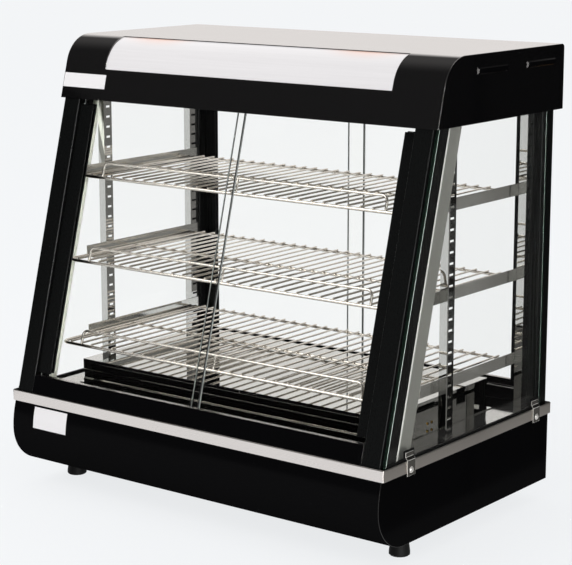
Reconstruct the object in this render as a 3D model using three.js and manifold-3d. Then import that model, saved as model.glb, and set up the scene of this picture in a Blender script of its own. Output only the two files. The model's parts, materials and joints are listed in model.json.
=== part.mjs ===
// Countertop pie warmer: a heated base, a stainless deck, a glazed display space whose front
// leans back, three lift-off wire shelves, sliding doors front and rear, and a lit canopy.
// Lengths are in millimetres, +Z is up and the front faces -Y. Pieces are placed from the deck's
// front edge (y = 0), and the whole cabinet is then centred between its front and rear.

import * as THREE from "three";
import { mergeVertices } from "three/addons/utils/BufferGeometryUtils.js";
import Module from "manifold-3d";

const wasm = await Module();
wasm.setup();

// Whole cabinet
const overallHeight = 652;
const deckWidth = 660;
const deckDepth = 420;
const leanDegrees = 15;
const seatGap = 0.3;
const cutOverrun = 3;

// Feet
const footHeight = 29.7;
const footRadius = 12;
const footPadRadius = 14.4;
const footPadHeight = 5;
const footFlareHeight = 22;
const footPadEdge = 1.5;
const frontFootFromFront = 93;
const frontFootFromSide = 33;
const rearFootFromRear = 33;
const rearFootFromSide = 74;

// Base shell, open at the top and the rear
const baseHeight = 112.7;
const baseSheet = 1.2;
const baseSideInset = 4;
const baseNoseReach = 4.5;
const baseRimInset = 2;
const baseRearInset = 2;
const baseNoseRadius = 58;

// Vent slots, pressed in the base's floor and the rear panel
const ventWidth = 5;
const ventPitch = 14;
const ventCount = 7;
const floorVentLength = 45;
const floorVentFromSide = 160;
const panelVentLength = 40;
const panelVentFromCentre = 100;

// Rear panel, a shallow pan set into the base
const panelSheet = 1.2;
const panelInset = 13;
const panelFlange = 12;

// Controls on the rear panel
const controlHeight = 58;
const knobFromSide = 90;
const controlPitch = 48;
const knobSkirtRadius = 18;
const knobSkirtHeight = 3;
const knobHeight = 19;
const knobGripWidth = 8;
const shaftRadius = 3;
const shaftLength = 15;
const shaftClearance = 0.3;
const bushingRadius = 5;
const bushingLength = 5;
const thermostatWidth = 34;
const thermostatDepth = 28;
const thermostatHeight = 36;
const pilotBezelRadius = 7;
const pilotBodyRadius = 5;
const pilotBodyLength = 18;
const pilotLensHeight = 5;
const bezelThickness = 2;
const holeClearance = 0.3;
const switchWidth = 31;
const switchHeight = 22;
const switchRim = 2.6;
const switchDepth = 20;
const switchLip = 2;
const rockerClearance = 1.4;
const rockerSideGap = 0.4;
const rockerDepth = 6;
const rockerDish = 1.6;
const rockerTiltDegrees = 9;

// Cable gland on the rear panel
const glandFromSide = 65;
const glandHeight = 27;
const glandBoreRadius = 4;
const glandThreadRadius = 8;
const glandNutRadius = 12;
const glandNutThickness = 5;
const glandDomeRadius = 7.5;
const glandLength = 19;

// Deck, an upturned stainless tray
const deckSheet = 1;
const deckSkirt = 16;
const deckCornerRadius = 3;
const deckEdgeRadius = 1.5;

// Heater cover on the deck
const coverLength = 528;
const coverHeight = 39.2;
const coverFromFront = 83.5;
const coverFromRear = 71.5;
const coverSheet = 1;
const coverFlange = 15;
const coverFlangeInset = 7;
const coverSwageDepth = 2;
const coverSwageBottom = 9.3;
const coverSwageTop = 24.7;
const coverSlotLength = 40;
const coverSlotHeight = 5;
const coverSlotPitch = 76;
const coverSlotDrop = 7;
const coverSlotFromRear = 79.5;
const coverSlotCount = 2;

// Heating element, four runs of sheathed rod
const elementRadius = 4;
const elementHeight = 18;
const elementSideInset = 47;
const elementEndInset = 40;
const elementBendRadius = 12;
const elementTail = 24;
const elementHoleClearance = 0.5;
const bracketWidth = 16;
const bracketSheet = 1.2;
const bracketFoot = 14;
const bracketInset = 18.5;

// Front and rear frames
const frontSetback = 3.6;
const rearSetback = 1.5;
const frameRise = 35;
const postWidth = 28.7;
const postDepth = 34;
const postWall = 1.6;
const postCornerRadius = 2;

// Side glass and the stainless plate behind each front post
const glassThickness = 5;
const glassSideInset = 3;
const sideGlassFrontInset = 5.8;
const sideGlassRearInset = 25;
const sidePlateGap = 2.5;
const sidePlateWidth = 30.5;
const sidePlateSheet = 1.2;
const sidePlateInset = 2.7;

// Clips that hold the side glass to the deck's skirt
const clipWidth = 18;
const clipSheet = 1.2;
const clipDrop = 20;
const clipRise = 11;
const clipStep = 1;
const clipBend = 4;
const frontClipFromFront = 61;
const rearClipFromRear = 43.5;
const clipScrewRadius = 4;
const clipScrewRise = 2.2;
const clipScrewDrop = 12.5;

// Slotted pilasters that carry the shelves
const pilasterWidth = 12;
const pilasterDepth = 17;
const pilasterSheet = 1;
const pilasterOffset = 3.5;
const pilasterSpacing = 0.5;
const frontPilasterGap = 19.5;
const slotPitch = 15;
const slotHeight = 3;
const slotLength = 10;
const slotFirst = 10.3;

// Shelf rails
const railHeight = 17;
const railSheet = 1.2;
const railFlange = 14;
const railDrop = 9;
const railFrontReach = 43;
const hookLength = 8;
const hookReach = 1.5;

// Wire shelves
const shelfShares = [0.17, 0.45, 0.73];
const shelfNames = ["lower", "middle", "upper"];
const shelfFrontLimit = 65;
const shelfRearGap = 14.5;
const shelfSideGap = 3;
const shelfRodRadius = 2.5;
const shelfWireRadius = 1.5;
const shelfWirePitch = 19.5;
const shelfWeld = 0.8;
const shelfCornerRadius = 14;
const shelfSupportRadius = 2;
const guardRise = 21;
const guardRadius = 2;
const guardWires = 2;
const guardBendRadius = 8;
const shelfDoorGap = 1.5;

// Sliding doors and their tracks
const paneThickness = 5;
const paneOverlap = 22;
const paneSideGap = 4;
const paneTopLap = 20;
const grooveOffset = 10;
const groovePitch = 12;
const grooveClearance = 1.1;
const trackDepth = 29;
const trackWall = 1.6;
const trackFloor = 3;
const bottomTrackLip = 24.7;
const bottomTrackRib = 18;
const topTrackDrop = 1;
const frontPullWidth = 25;
const rearPullWidth = 16.7;
const pullThickness = 9.6;
const pullBottomGap = 3;
const pullTopGap = 8;

// Canopy, its window and the diffuser behind it
const canopyDrop = 90;
const canopyOverhang = 10;
const canopyRadius = 50;
const canopyRearRadius = 6;
const canopySheet = 1.2;
const canopySideInset = 1;
const windowSideInset = 79;
const windowDrop = 46;
const windowRearInset = 8.5;
const diffuserThickness = 2.5;
const diffuserLap = 5.5;

// Pressed louvres in the canopy's sides
const louvreLength = 76;
const louvreHeight = 10;
const louvreRise = 2.4;
const louvrePitch = 124.5;
const louvreFromRear = 64;
const louvreDrop = 22;

// Ceiling panel under the canopy
const ceilingRise = 10;
const ceilingSheet = 1;
const ceilingFlange = 12;
const ceilingClearance = 0.5;
const lightOpeningLength = 70;
const lightOpeningWidth = 50;

// Lamps over the ceiling panel
const lampFromWindowEnd = 70;
const lampFromWindow = 32;
const lampRise = 36;
const bulbRadius = 22.5;
const bulbCapRadius = 7;
const bulbCapLength = 14;
const bulbNeckRadius = 9;
const holderRadius = 13;
const holderLength = 30;
const holderWall = 5.5;
const holderBracketWidth = 20;
const holderBracketSheet = 2;
const holderFootLength = 22;

// Fineness of the curves
const arcSteps = 12;
const cornerSteps = 3;
const bendSteps = 4;
const rodSides = 8;
const wireSides = 6;
const latheSides = 16;
const samePlace = 0.01;
const weldReach = 0.0001;

// Heights and planes worked out from the sizes above
const lean = THREE.MathUtils.degToRad(leanDegrees);
const slope = Math.tan(lean);
const halfDeck = deckWidth / 2;
const baseBottom = footHeight + seatGap;
const baseTop = baseBottom + baseHeight;
const deckTop = baseTop + seatGap + deckSheet;
const standZ = deckTop + seatGap;
const skirtBottom = deckTop - deckSkirt;
const coverDepth = deckDepth - coverFromFront - coverFromRear;
const halfBase = halfDeck - baseSideInset;
const baseRear = deckDepth - baseRearInset;
const canopyTop = overallHeight;
const canopyBottom = canopyTop - canopyDrop;
const canopyRear = deckDepth + canopyOverhang;
const halfCanopy = halfDeck - canopySideInset;
const halfWindow = halfCanopy - windowSideInset;
const lampFromCentre = halfWindow - lampFromWindowEnd;
const frameTop = canopyBottom + frameRise;
const ceilingBottom = canopyBottom + ceilingRise;
const rearPlane = deckDepth - rearSetback;
const rearPostFront = rearPlane - postDepth;
const glassOuter = halfDeck - glassSideInset;
const glassInner = glassOuter - glassThickness;
const postOuter = glassInner - seatGap;
const postInner = postOuter - postWidth;
const paneOuter = postInner - paneSideGap;
const pullOuter = postInner - seatGap;
const pilasterInner = postInner + pilasterOffset;
const pilasterOuter = pilasterInner + pilasterWidth;
const frontPilasterY = frontPlane(ceilingBottom) + postDepth + frontPilasterGap;
const rearPilasterY = rearPostFront - seatGap - pilasterDepth;
const railOuter = pilasterInner - seatGap;
const railInner = railOuter - railSheet;
const windowBottom = canopyTop - windowDrop;
const panelFace = baseRear - panelInset;
const sides = [
  ["left", -1],
  ["right", 1],
];

const finishes = {
  blackPaint: { color: 0x121213, roughness: 0.35, metalness: 0.1 },
  stainless: { color: 0xc3c2be, roughness: 0.3, metalness: 0.95 },
  mirrorSteel: { color: 0xd2d2d0, roughness: 0.08, metalness: 1 },
  chrome: { color: 0xdcdcdc, roughness: 0.1, metalness: 1 },
  sheathSteel: { color: 0x6e6a64, roughness: 0.45, metalness: 0.9 },
  glass: { color: 0xdcebe4, roughness: 0.03, metalness: 0, transparent: true, opacity: 0.25 },
  diffuser: { color: 0xecebea, roughness: 0.4, metalness: 0 },
  blackPlastic: { color: 0x161616, roughness: 0.5, metalness: 0 },
  rubber: { color: 0x101010, roughness: 0.8, metalness: 0 },
  porcelain: { color: 0xeeece4, roughness: 0.3, metalness: 0 },
  warmBulb: { color: 0xffd9a0, roughness: 0.2, metalness: 0, emissive: 0xffb060 },
  amberLens: { color: 0xe08018, roughness: 0.15, metalness: 0 },
  redRocker: { color: 0xb01a14, roughness: 0.3, metalness: 0 },
};

// y of the leaning front plane at height z.
function frontPlane(z) {
  return frontSetback + slope * (z - deckTop);
}

function outline(points) {
  return new THREE.Shape(points.map(([a, b]) => new THREE.Vector2(a, b)));
}

function roundedRectangle(x0, y0, x1, y1, radius) {
  const shape = new THREE.Shape();
  shape.absarc(x1 - radius, y0 + radius, radius, -Math.PI / 2, 0);
  shape.absarc(x1 - radius, y1 - radius, radius, 0, Math.PI / 2);
  shape.absarc(x0 + radius, y1 - radius, radius, Math.PI / 2, Math.PI);
  shape.absarc(x0 + radius, y0 + radius, radius, Math.PI, Math.PI * 1.5);
  shape.closePath();
  return shape;
}

function extruded(shape, depth, curveSegments) {
  return new THREE.ExtrudeGeometry(shape, { depth, curveSegments, bevelEnabled: false });
}

const unitX = new THREE.Vector3(1, 0, 0);
const unitY = new THREE.Vector3(0, 1, 0);
const unitZ = new THREE.Vector3(0, 0, 1);

// A (y, z) section carried along x.
function alongX(shape, x0, x1, curveSegments = arcSteps) {
  const turn = new THREE.Matrix4().makeBasis(unitY, unitZ, unitX);
  return extruded(shape, x1 - x0, curveSegments).applyMatrix4(turn).translate(x0, 0, 0);
}

// An (x, z) section carried along y.
function alongY(shape, y0, y1, curveSegments = arcSteps) {
  const turn = new THREE.Matrix4().makeBasis(unitX, unitZ, unitY.clone().negate());
  return extruded(shape, y1 - y0, curveSegments).applyMatrix4(turn).translate(0, y1, 0);
}

// An (x, y) section carried upwards.
function alongZ(shape, z0, z1, curveSegments = cornerSteps) {
  return extruded(shape, z1 - z0, curveSegments).translate(0, 0, z0);
}

function block([x0, y0, z0], [x1, y1, z1]) {
  const box = new THREE.BoxGeometry(x1 - x0, y1 - y0, z1 - z0);
  return box.translate((x0 + x1) / 2, (y0 + y1) / 2, (z0 + z1) / 2);
}

// Moves a geometry made against y = 0 onto the leaning front plane, keeping its ends level.
function leaned(geometry) {
  const shear = new THREE.Matrix4();
  shear.elements[9] = slope;
  shear.elements[13] = frontPlane(0);
  return geometry.applyMatrix4(shear);
}

// A revolved profile of [radius, height] pairs about the y axis.
function revolved(profile) {
  const points = profile.map(([radius, height]) => new THREE.Vector2(radius, height));
  return new THREE.LatheGeometry(points, latheSides);
}

// The domed end of a revolved profile, from its rim at a base height to its top on the axis.
function domeProfile(radius, base, height) {
  const profile = [];
  for (let i = 0; i < bendSteps; i += 1) {
    const angle = (Math.PI * i) / (2 * bendSteps);
    profile.push([radius * Math.cos(angle), base + height * Math.sin(angle)]);
  }
  profile.push([0, base + height]);
  return profile;
}

// A bent rod's centre line: one step per point, each section square to the bend there.
class RodLine extends THREE.Curve {
  constructor(points) {
    super();
    this.points = points;
  }

  getPointAt(share) {
    return this.points[Math.round(share * (this.points.length - 1))].clone();
  }

  getTangentAt(share) {
    const at = Math.round(share * (this.points.length - 1));
    const before = this.points[Math.max(at - 1, 0)];
    const here = this.points[at];
    const after = this.points[Math.min(at + 1, this.points.length - 1)];
    const arriving = here.clone().sub(before).normalize();
    const leaving = after.clone().sub(here).normalize();
    return arriving.add(leaving).normalize();
  }
}

// The points of a rod through [x, y, z] corners, bent at each with one radius or the corner's own.
function bentPoints(corners, radius) {
  const places = corners.map(([x, y, z]) => new THREE.Vector3(x, y, z));
  const points = [places[0]];
  for (let i = 1; i < places.length - 1; i += 1) {
    const bend = corners[i][3] ?? radius;
    const back = places[i - 1].clone().sub(places[i]).normalize();
    const on = places[i + 1].clone().sub(places[i]).normalize();
    const half = back.angleTo(on) / 2;
    const middle = back.clone().add(on).normalize();
    const centre = places[i].clone().addScaledVector(middle, bend / Math.sin(half));
    const start = places[i].clone().addScaledVector(back, bend / Math.tan(half)).sub(centre);
    const axis = start.clone().cross(middle).normalize();
    const sweep = Math.PI - 2 * half;
    for (let step = 0; step <= bendSteps; step += 1) {
      const turned = start.clone().applyAxisAngle(axis, -(sweep * step) / bendSteps);
      points.push(centre.clone().add(turned));
    }
  }
  points.push(places[places.length - 1]);
  return points.filter((point, i) => i === 0 || point.distanceTo(points[i - 1]) > samePlace);
}

function rod(corners, radius, bendRadius, rounds) {
  const points = bentPoints(corners, bendRadius);
  const section = new THREE.Shape();
  for (let i = 0; i < rounds; i += 1) {
    const angle = (2 * Math.PI * (i + 0.5)) / rounds;
    const [a, b] = [radius * Math.cos(angle), radius * Math.sin(angle)];
    if (i === 0) section.moveTo(a, b);
    else section.lineTo(a, b);
  }
  const extrudePath = new RodLine(points);
  const steps = points.length - 1;
  return new THREE.ExtrudeGeometry(section, { steps, extrudePath, bevelEnabled: false });
}

function toSolid(geometry) {
  const bare = geometry.index ? geometry.toNonIndexed() : geometry.clone();
  bare.deleteAttribute("normal");
  bare.deleteAttribute("uv");
  const merged = mergeVertices(bare, weldReach);
  const vertProperties = merged.getAttribute("position").array;
  const triVerts = new Uint32Array(merged.index.array);
  return new wasm.Manifold(new wasm.Mesh({ numProp: 3, vertProperties, triVerts }));
}

function toGeometry(solid) {
  const mesh = solid.getMesh();
  const indexed = new THREE.BufferGeometry();
  indexed.setAttribute("position", new THREE.BufferAttribute(mesh.vertProperties, 3));
  indexed.setIndex(new THREE.BufferAttribute(mesh.triVerts, 1));
  const flat = indexed.toNonIndexed();
  flat.computeVertexNormals();
  return flat;
}

function join(first, ...others) {
  return toGeometry(others.reduce((whole, one) => whole.add(toSolid(one)), toSolid(first)));
}

function cut(first, ...tools) {
  return toGeometry(tools.reduce((whole, one) => whole.subtract(toSolid(one)), toSolid(first)));
}

function common(first, second) {
  return toGeometry(toSolid(first).intersect(toSolid(second)));
}

function addPiece(name, geometry, finish, parent) {
  const piece = new THREE.Mesh(geometry, new THREE.MeshStandardMaterial(finishes[finish]));
  piece.name = name;
  parent.add(piece);
  return piece;
}

// Adds a left and a right copy of a piece that is made on the right.
function addPair(name, geometry, finish, parent) {
  for (const [sideName, side] of sides) {
    const piece = addPiece(`${name}_${sideName}`, geometry, finish, parent);
    piece.scale.x = side;
  }
}

function makeFoot() {
  return revolved([
    [0, 0],
    [footPadRadius - footPadEdge, 0],
    [footPadRadius, footPadEdge],
    [footPadRadius, footPadHeight],
    [footRadius, footFlareHeight],
    [footRadius, footHeight],
    [0, footHeight],
  ]).rotateX(Math.PI / 2);
}

function addFeet(parent) {
  const foot = makeFoot();
  const places = [
    ["front", frontFootFromFront, halfBase - frontFootFromSide],
    ["rear", baseRear - rearFootFromRear, halfBase - rearFootFromSide],
  ];
  for (const [end, y, x] of places) {
    for (const [sideName, side] of sides) {
      const piece = addPiece(`foot_${end}_${sideName}`, foot, "rubber", parent);
      piece.position.set(side * x, y, 0);
    }
  }
}

// The base's side outline: a rim under the deck, a front that flares past it, a rounded nose and a
// flat floor.
function baseSection(inset) {
  const front = inset - baseNoseReach;
  const rim = baseRimInset + inset;
  const floor = baseBottom + inset;
  const over = inset > 0 ? cutOverrun : 0;
  const noseY = baseNoseRadius - baseNoseReach;
  const noseZ = baseBottom + baseNoseRadius;
  const shape = new THREE.Shape();
  shape.moveTo(rim, baseTop + over);
  shape.lineTo(rim, skirtBottom);
  shape.quadraticCurveTo(front, (skirtBottom + noseZ) / 2, front, noseZ);
  shape.absarc(noseY, noseZ, baseNoseRadius - inset, Math.PI, Math.PI * 1.5);
  shape.lineTo(baseRear + over, floor);
  shape.lineTo(baseRear + over, baseTop + over);
  return shape;
}

function ventOffsets() {
  return Array.from({ length: ventCount }, (_, i) => (i - (ventCount - 1) / 2) * ventPitch);
}

function makeBaseShell() {
  const outer = alongX(baseSection(0), -halfBase, halfBase);
  const inner = alongX(baseSection(baseSheet), baseSheet - halfBase, halfBase - baseSheet);
  const vents = [];
  for (const [, side] of sides) {
    const x = side * (halfBase - floorVentFromSide);
    for (const offset of ventOffsets()) {
      const y = (baseNoseRadius - baseNoseReach + baseRear) / 2 + offset;
      const low = [x - floorVentLength / 2, y - ventWidth / 2, baseBottom - cutOverrun];
      const high = [x + floorVentLength / 2, y + ventWidth / 2, baseBottom + cutOverrun];
      vents.push(block(low, high));
    }
  }
  return cut(outer, inner, ...vents);
}

// Places of what is mounted on the rear panel, as [x, z].
const halfPanel = halfBase - baseSheet - seatGap;
const panelBottom = baseBottom + baseSheet + seatGap;
const controlZ = panelBottom + controlHeight;
const knobPlace = [knobFromSide - halfPanel, controlZ];
const pilotPlace = [knobPlace[0] + controlPitch, controlZ];
const switchPlace = [pilotPlace[0] + controlPitch, controlZ];
const glandPlace = [halfPanel - glandFromSide, panelBottom + glandHeight];

// A round cutter through the rear panel.
function panelHole([x, z], radius) {
  const depth = 2 * (panelSheet + cutOverrun);
  return new THREE.CylinderGeometry(radius, radius, depth, latheSides).translate(x, panelFace, z);
}

function makeRearPanel() {
  const rear = panelFace + panelFlange;
  const pan = block([-halfPanel, panelFace - panelSheet, panelBottom], [halfPanel, rear, baseTop]);
  const hollow = block(
    [panelSheet - halfPanel, panelFace, panelBottom + panelSheet],
    [halfPanel - panelSheet, rear + cutOverrun, baseTop - panelSheet],
  );
  const well = [switchWidth / 2 - switchLip + holeClearance, switchHeight / 2 - switchLip + holeClearance];
  const switchHole = block(
    [switchPlace[0] - well[0], panelFace - cutOverrun, switchPlace[1] - well[1]],
    [switchPlace[0] + well[0], panelFace + cutOverrun, switchPlace[1] + well[1]],
  );
  const vents = ventOffsets().map((offset) => {
    const x = panelVentFromCentre + offset;
    const low = [x - ventWidth / 2, panelFace - cutOverrun, controlZ - panelVentLength / 2];
    const high = [x + ventWidth / 2, panelFace + cutOverrun, controlZ + panelVentLength / 2];
    return block(low, high);
  });
  return cut(
    pan,
    hollow,
    switchHole,
    panelHole(knobPlace, bushingRadius + holeClearance),
    panelHole(pilotPlace, pilotBodyRadius + holeClearance),
    panelHole(glandPlace, glandThreadRadius + holeClearance),
    ...vents,
  );
}

function makeThermostat() {
  const back = -panelSheet - seatGap;
  const body = block(
    [-thermostatWidth / 2, back - thermostatDepth, -thermostatHeight / 2],
    [thermostatWidth / 2, back, thermostatHeight / 2],
  );
  const neck = revolved([
    [0, back - cutOverrun],
    [bushingRadius, back - cutOverrun],
    [bushingRadius, bushingLength - bezelThickness],
    [shaftRadius, bushingLength - bezelThickness],
    [shaftRadius, shaftLength],
    [0, shaftLength],
  ]);
  return join(body, neck);
}

function makeKnob() {
  const start = bushingLength;
  const dome = bushingRadius + knobSkirtHeight;
  const top = start + knobHeight;
  const skirt = revolved([
    [0, start],
    [knobSkirtRadius, start],
    [knobSkirtRadius, start + knobSkirtHeight],
    [dome, start + knobSkirtHeight * 2],
    [dome, top - bezelThickness],
    [0, top - bezelThickness],
  ]);
  const half = knobGripWidth / 2;
  const reach = knobSkirtRadius - bezelThickness;
  const grip = new THREE.Shape();
  grip.moveTo(-half, -reach);
  grip.lineTo(half, -reach);
  grip.absarc(0, reach - half, half, 0, Math.PI);
  const bar = alongY(grip, start + knobSkirtHeight / 2, top);
  const bore = shaftRadius + shaftClearance;
  const depth = 2 * (shaftLength + shaftClearance);
  return cut(join(skirt, bar), new THREE.CylinderGeometry(bore, bore, depth, latheSides));
}

function makePilotLamp() {
  return revolved([
    [0, -pilotBodyLength],
    [pilotBodyRadius, -pilotBodyLength],
    [pilotBodyRadius, seatGap],
    [pilotBezelRadius, seatGap],
    [pilotBezelRadius, bezelThickness],
    ...domeProfile(pilotBodyRadius, bezelThickness, pilotLensHeight),
  ]);
}

// Half the width and half the height of the well that the rocker tips in.
const switchWell = [
  switchWidth / 2 - Math.max(switchRim, switchLip + holeClearance),
  switchHeight / 2 - Math.max(switchRim, switchLip + holeClearance),
];

function makeSwitchHousing() {
  const [halfWidth, halfHeight] = [switchWidth / 2, switchHeight / 2];
  const flange = block([-halfWidth, seatGap, -halfHeight], [halfWidth, bezelThickness, halfHeight]);
  const [bodyWide, bodyHigh] = [halfWidth - switchLip, halfHeight - switchLip];
  const body = block([-bodyWide, -switchDepth, -bodyHigh], [bodyWide, bezelThickness, bodyHigh]);
  const [wide, high] = switchWell;
  const wellFloor = -rockerDepth - rockerClearance;
  const well = block([-wide, wellFloor, -high], [wide, switchDepth, high]);
  return cut(join(flange, body), well);
}

// The rocker's side outline about its pivot, tipped to its resting side.
function makeRocker() {
  const halfWide = switchWell[0] - rockerSideGap;
  const halfHigh = switchWell[1] - rockerClearance;
  const face = bezelThickness + rockerDish;
  const section = outline([
    [-rockerDepth / 2, -halfHigh / 2],
    [face, -halfHigh],
    [face - rockerDish, 0],
    [face, halfHigh],
    [-rockerDepth / 2, halfHigh / 2],
  ]);
  return alongX(section, -halfWide, halfWide).rotateX(THREE.MathUtils.degToRad(rockerTiltDegrees));
}

function makeGland() {
  const inside = -panelSheet - seatGap;
  return revolved([
    [glandBoreRadius, inside - 2 * glandNutThickness],
    [glandThreadRadius, inside - 2 * glandNutThickness],
    [glandThreadRadius, inside - glandNutThickness],
    [glandNutRadius, inside - glandNutThickness],
    [glandNutRadius, inside],
    [glandThreadRadius, inside],
    [glandThreadRadius, seatGap],
    [glandNutRadius, seatGap],
    [glandNutRadius, glandNutThickness],
    [glandThreadRadius + seatGap, glandNutThickness],
    [glandThreadRadius + seatGap, glandLength - glandNutThickness],
    [glandDomeRadius, glandLength - glandNutThickness / 3],
    [glandBoreRadius + glandNutThickness / 3, glandLength],
    [glandBoreRadius, glandLength],
    [glandBoreRadius, inside - 2 * glandNutThickness],
  ]);
}

function addRearPanel(parent) {
  addPiece("rear_panel", makeRearPanel(), "blackPaint", parent);
  const mounted = [
    ["thermostat_body", makeThermostat(), "sheathSteel", knobPlace],
    ["thermostat_knob", makeKnob(), "blackPlastic", knobPlace],
    ["pilot_lamp", makePilotLamp(), "amberLens", pilotPlace],
    ["light_switch_housing", makeSwitchHousing(), "blackPlastic", switchPlace],
    ["light_switch_rocker", makeRocker(), "redRocker", switchPlace],
    ["cable_gland", makeGland(), "blackPlastic", glandPlace],
  ];
  for (const [name, geometry, finish, [x, z]] of mounted) {
    addPiece(name, geometry, finish, parent).position.set(x, panelFace, z);
  }
}

// Where the heating element rises through the deck, as [x, y].
const elementFirstY = coverFromFront + elementSideInset;
const elementRunPitch = (coverDepth - 2 * elementSideInset) / 3;
const elementLeft = elementEndInset - coverLength / 2;
const elementRight = coverLength / 2 - elementEndInset;
const terminalPlaces = [
  [elementLeft, elementFirstY],
  [elementLeft, elementFirstY + 3 * elementRunPitch],
];

function makeDeck() {
  const flat = deckEdgeRadius;
  const shape = roundedRectangle(
    flat - halfDeck,
    flat,
    halfDeck - flat,
    deckDepth - flat,
    deckCornerRadius - flat,
  );
  const shell = new THREE.ExtrudeGeometry(shape, {
    depth: deckSkirt,
    curveSegments: cornerSteps,
    bevelThickness: flat,
    bevelSize: flat,
    bevelSegments: cornerSteps,
  });
  shell.translate(0, 0, skirtBottom - flat);
  const below = block(
    [-halfDeck - cutOverrun, -cutOverrun, skirtBottom - deckSkirt],
    [halfDeck + cutOverrun, deckDepth + cutOverrun, skirtBottom],
  );
  const hollow = alongZ(
    roundedRectangle(
      deckSheet - halfDeck,
      deckSheet,
      halfDeck - deckSheet,
      deckDepth - deckSheet,
      deckCornerRadius - deckSheet,
    ),
    skirtBottom - cutOverrun,
    deckTop - deckSheet,
  );
  const hole = elementRadius + elementHoleClearance;
  const holes = terminalPlaces.map(([x, y]) => {
    const drill = new THREE.CylinderGeometry(hole, hole, 2 * deckSkirt, latheSides);
    return drill.rotateX(Math.PI / 2).translate(x, y, deckTop);
  });
  return cut(shell, below, hollow, ...holes);
}

// The heater cover's end outline, with a swage pressed into its front and rear.
function coverSection(inset) {
  const bottom = inset > 0 ? -cutOverrun : 0;
  const [front, rear] = [inset, coverDepth - inset];
  const top = coverHeight - inset;
  const swage = coverSwageDepth;
  const frontFace = [
    [front, top],
    [front, coverSwageTop],
    [front + swage, coverSwageTop - swage],
    [front + swage, coverSwageBottom + swage],
    [front, coverSwageBottom],
    [front, bottom],
  ];
  const rearFace = frontFace.map(([y, z]) => [coverDepth - y, z]).reverse();
  return outline([...frontFace, ...rearFace]);
}

function makeHeaterCover() {
  const half = coverLength / 2;
  const outer = alongX(coverSection(0), -half, half);
  const inner = alongX(coverSection(coverSheet), coverSheet - half, half - coverSheet);
  const shell = cut(outer, inner);
  const flanges = sides.map(([, side]) => {
    const ends = [side * (half - coverSheet), side * (half + coverFlange)].sort((a, b) => a - b);
    return block([ends[0], coverFlangeInset, 0], [ends[1], coverDepth - coverFlangeInset, coverSheet]);
  });
  const slots = [];
  for (let i = 0; i < coverSlotCount; i += 1) {
    const y = coverDepth - coverSlotFromRear - i * coverSlotPitch;
    const z = coverHeight - coverSlotDrop;
    const low = [-half - cutOverrun, y - coverSlotLength / 2, z - coverSlotHeight / 2];
    const high = [half + cutOverrun, y + coverSlotLength / 2, z + coverSlotHeight / 2];
    slots.push(block(low, high));
  }
  return cut(join(shell, ...flanges), ...slots);
}

function makeElement() {
  const tail = deckTop - elementTail;
  const z = deckTop + elementHeight;
  const y = [0, 1, 2, 3].map((run) => elementFirstY + run * elementRunPitch);
  const [left, right] = [elementLeft, elementRight];
  const middle = left + elementRunPitch;
  const turn = elementRunPitch / 2;
  const corners = [
    [left, y[0], tail],
    [left, y[0], z],
    [right, y[0], z, turn],
    [right, y[1], z, turn],
    [middle, y[1], z, turn],
    [middle, y[2], z, turn],
    [right, y[2], z, turn],
    [right, y[3], z, turn],
    [left, y[3], z],
    [left, y[3], tail],
  ];
  return rod(corners, elementRadius, elementBendRadius, rodSides);
}

// A hat-shaped strap that carries the element's four runs.
function makeElementBracket() {
  const front = coverFromFront + bracketInset;
  const rear = coverFromFront + coverDepth - bracketInset;
  const top = deckTop + elementHeight - elementRadius - seatGap;
  const sheet = bracketSheet;
  const section = outline([
    [front - bracketFoot, standZ],
    [front + sheet, standZ],
    [front + sheet, top - sheet],
    [rear - sheet, top - sheet],
    [rear - sheet, standZ],
    [rear + bracketFoot, standZ],
    [rear + bracketFoot, standZ + sheet],
    [rear, standZ + sheet],
    [rear, top],
    [front, top],
    [front, standZ + sheet],
    [front - bracketFoot, standZ + sheet],
  ]);
  return alongX(section, -bracketWidth / 2, bracketWidth / 2);
}

function addDeck(parent) {
  addPiece("deck_tray", makeDeck(), "stainless", parent);
  const cover = addPiece("heater_cover", makeHeaterCover(), "mirrorSteel", parent);
  cover.position.set(0, coverFromFront, standZ);
  addPiece("heating_element", makeElement(), "sheathSteel", parent);
  addPiece("element_bracket", makeElementBracket(), "stainless", parent);
}

function makePost() {
  const section = roundedRectangle(postInner, 0, postOuter, postDepth, postCornerRadius);
  const [left, right] = [postInner + postWall, postOuter - postWall];
  const [front, rear] = [postWall, postDepth - postWall];
  section.holes.push(outline([[left, front], [right, front], [right, rear], [left, rear]]));
  return alongZ(section, standZ, frameTop);
}

function makeSideGlass() {
  const rear = rearPlane - sideGlassRearInset;
  const section = outline([
    [frontPlane(standZ) + sideGlassFrontInset, standZ],
    [rear, standZ],
    [rear, frameTop],
    [frontPlane(frameTop) + sideGlassFrontInset, frameTop],
  ]);
  return alongX(section, glassInner, glassOuter);
}

const sidePlateOuter = postOuter - sidePlateInset;
const sidePlateInner = pilasterOuter + pilasterSpacing;
const sidePlateFront = postDepth + sidePlateGap;

// A stainless channel behind the front post, open towards the inside.
function makeSidePlate() {
  const [outer, inner] = [sidePlateOuter, sidePlateInner];
  const [front, rear] = [sidePlateFront, sidePlateFront + sidePlateWidth];
  const sheet = sidePlateSheet;
  const section = outline([
    [inner, front],
    [outer, front],
    [outer, rear],
    [inner, rear],
    [inner, rear - sheet],
    [outer - sheet, rear - sheet],
    [outer - sheet, front + sheet],
    [inner, front + sheet],
  ]);
  return leaned(alongZ(section, standZ, frameTop));
}

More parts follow.
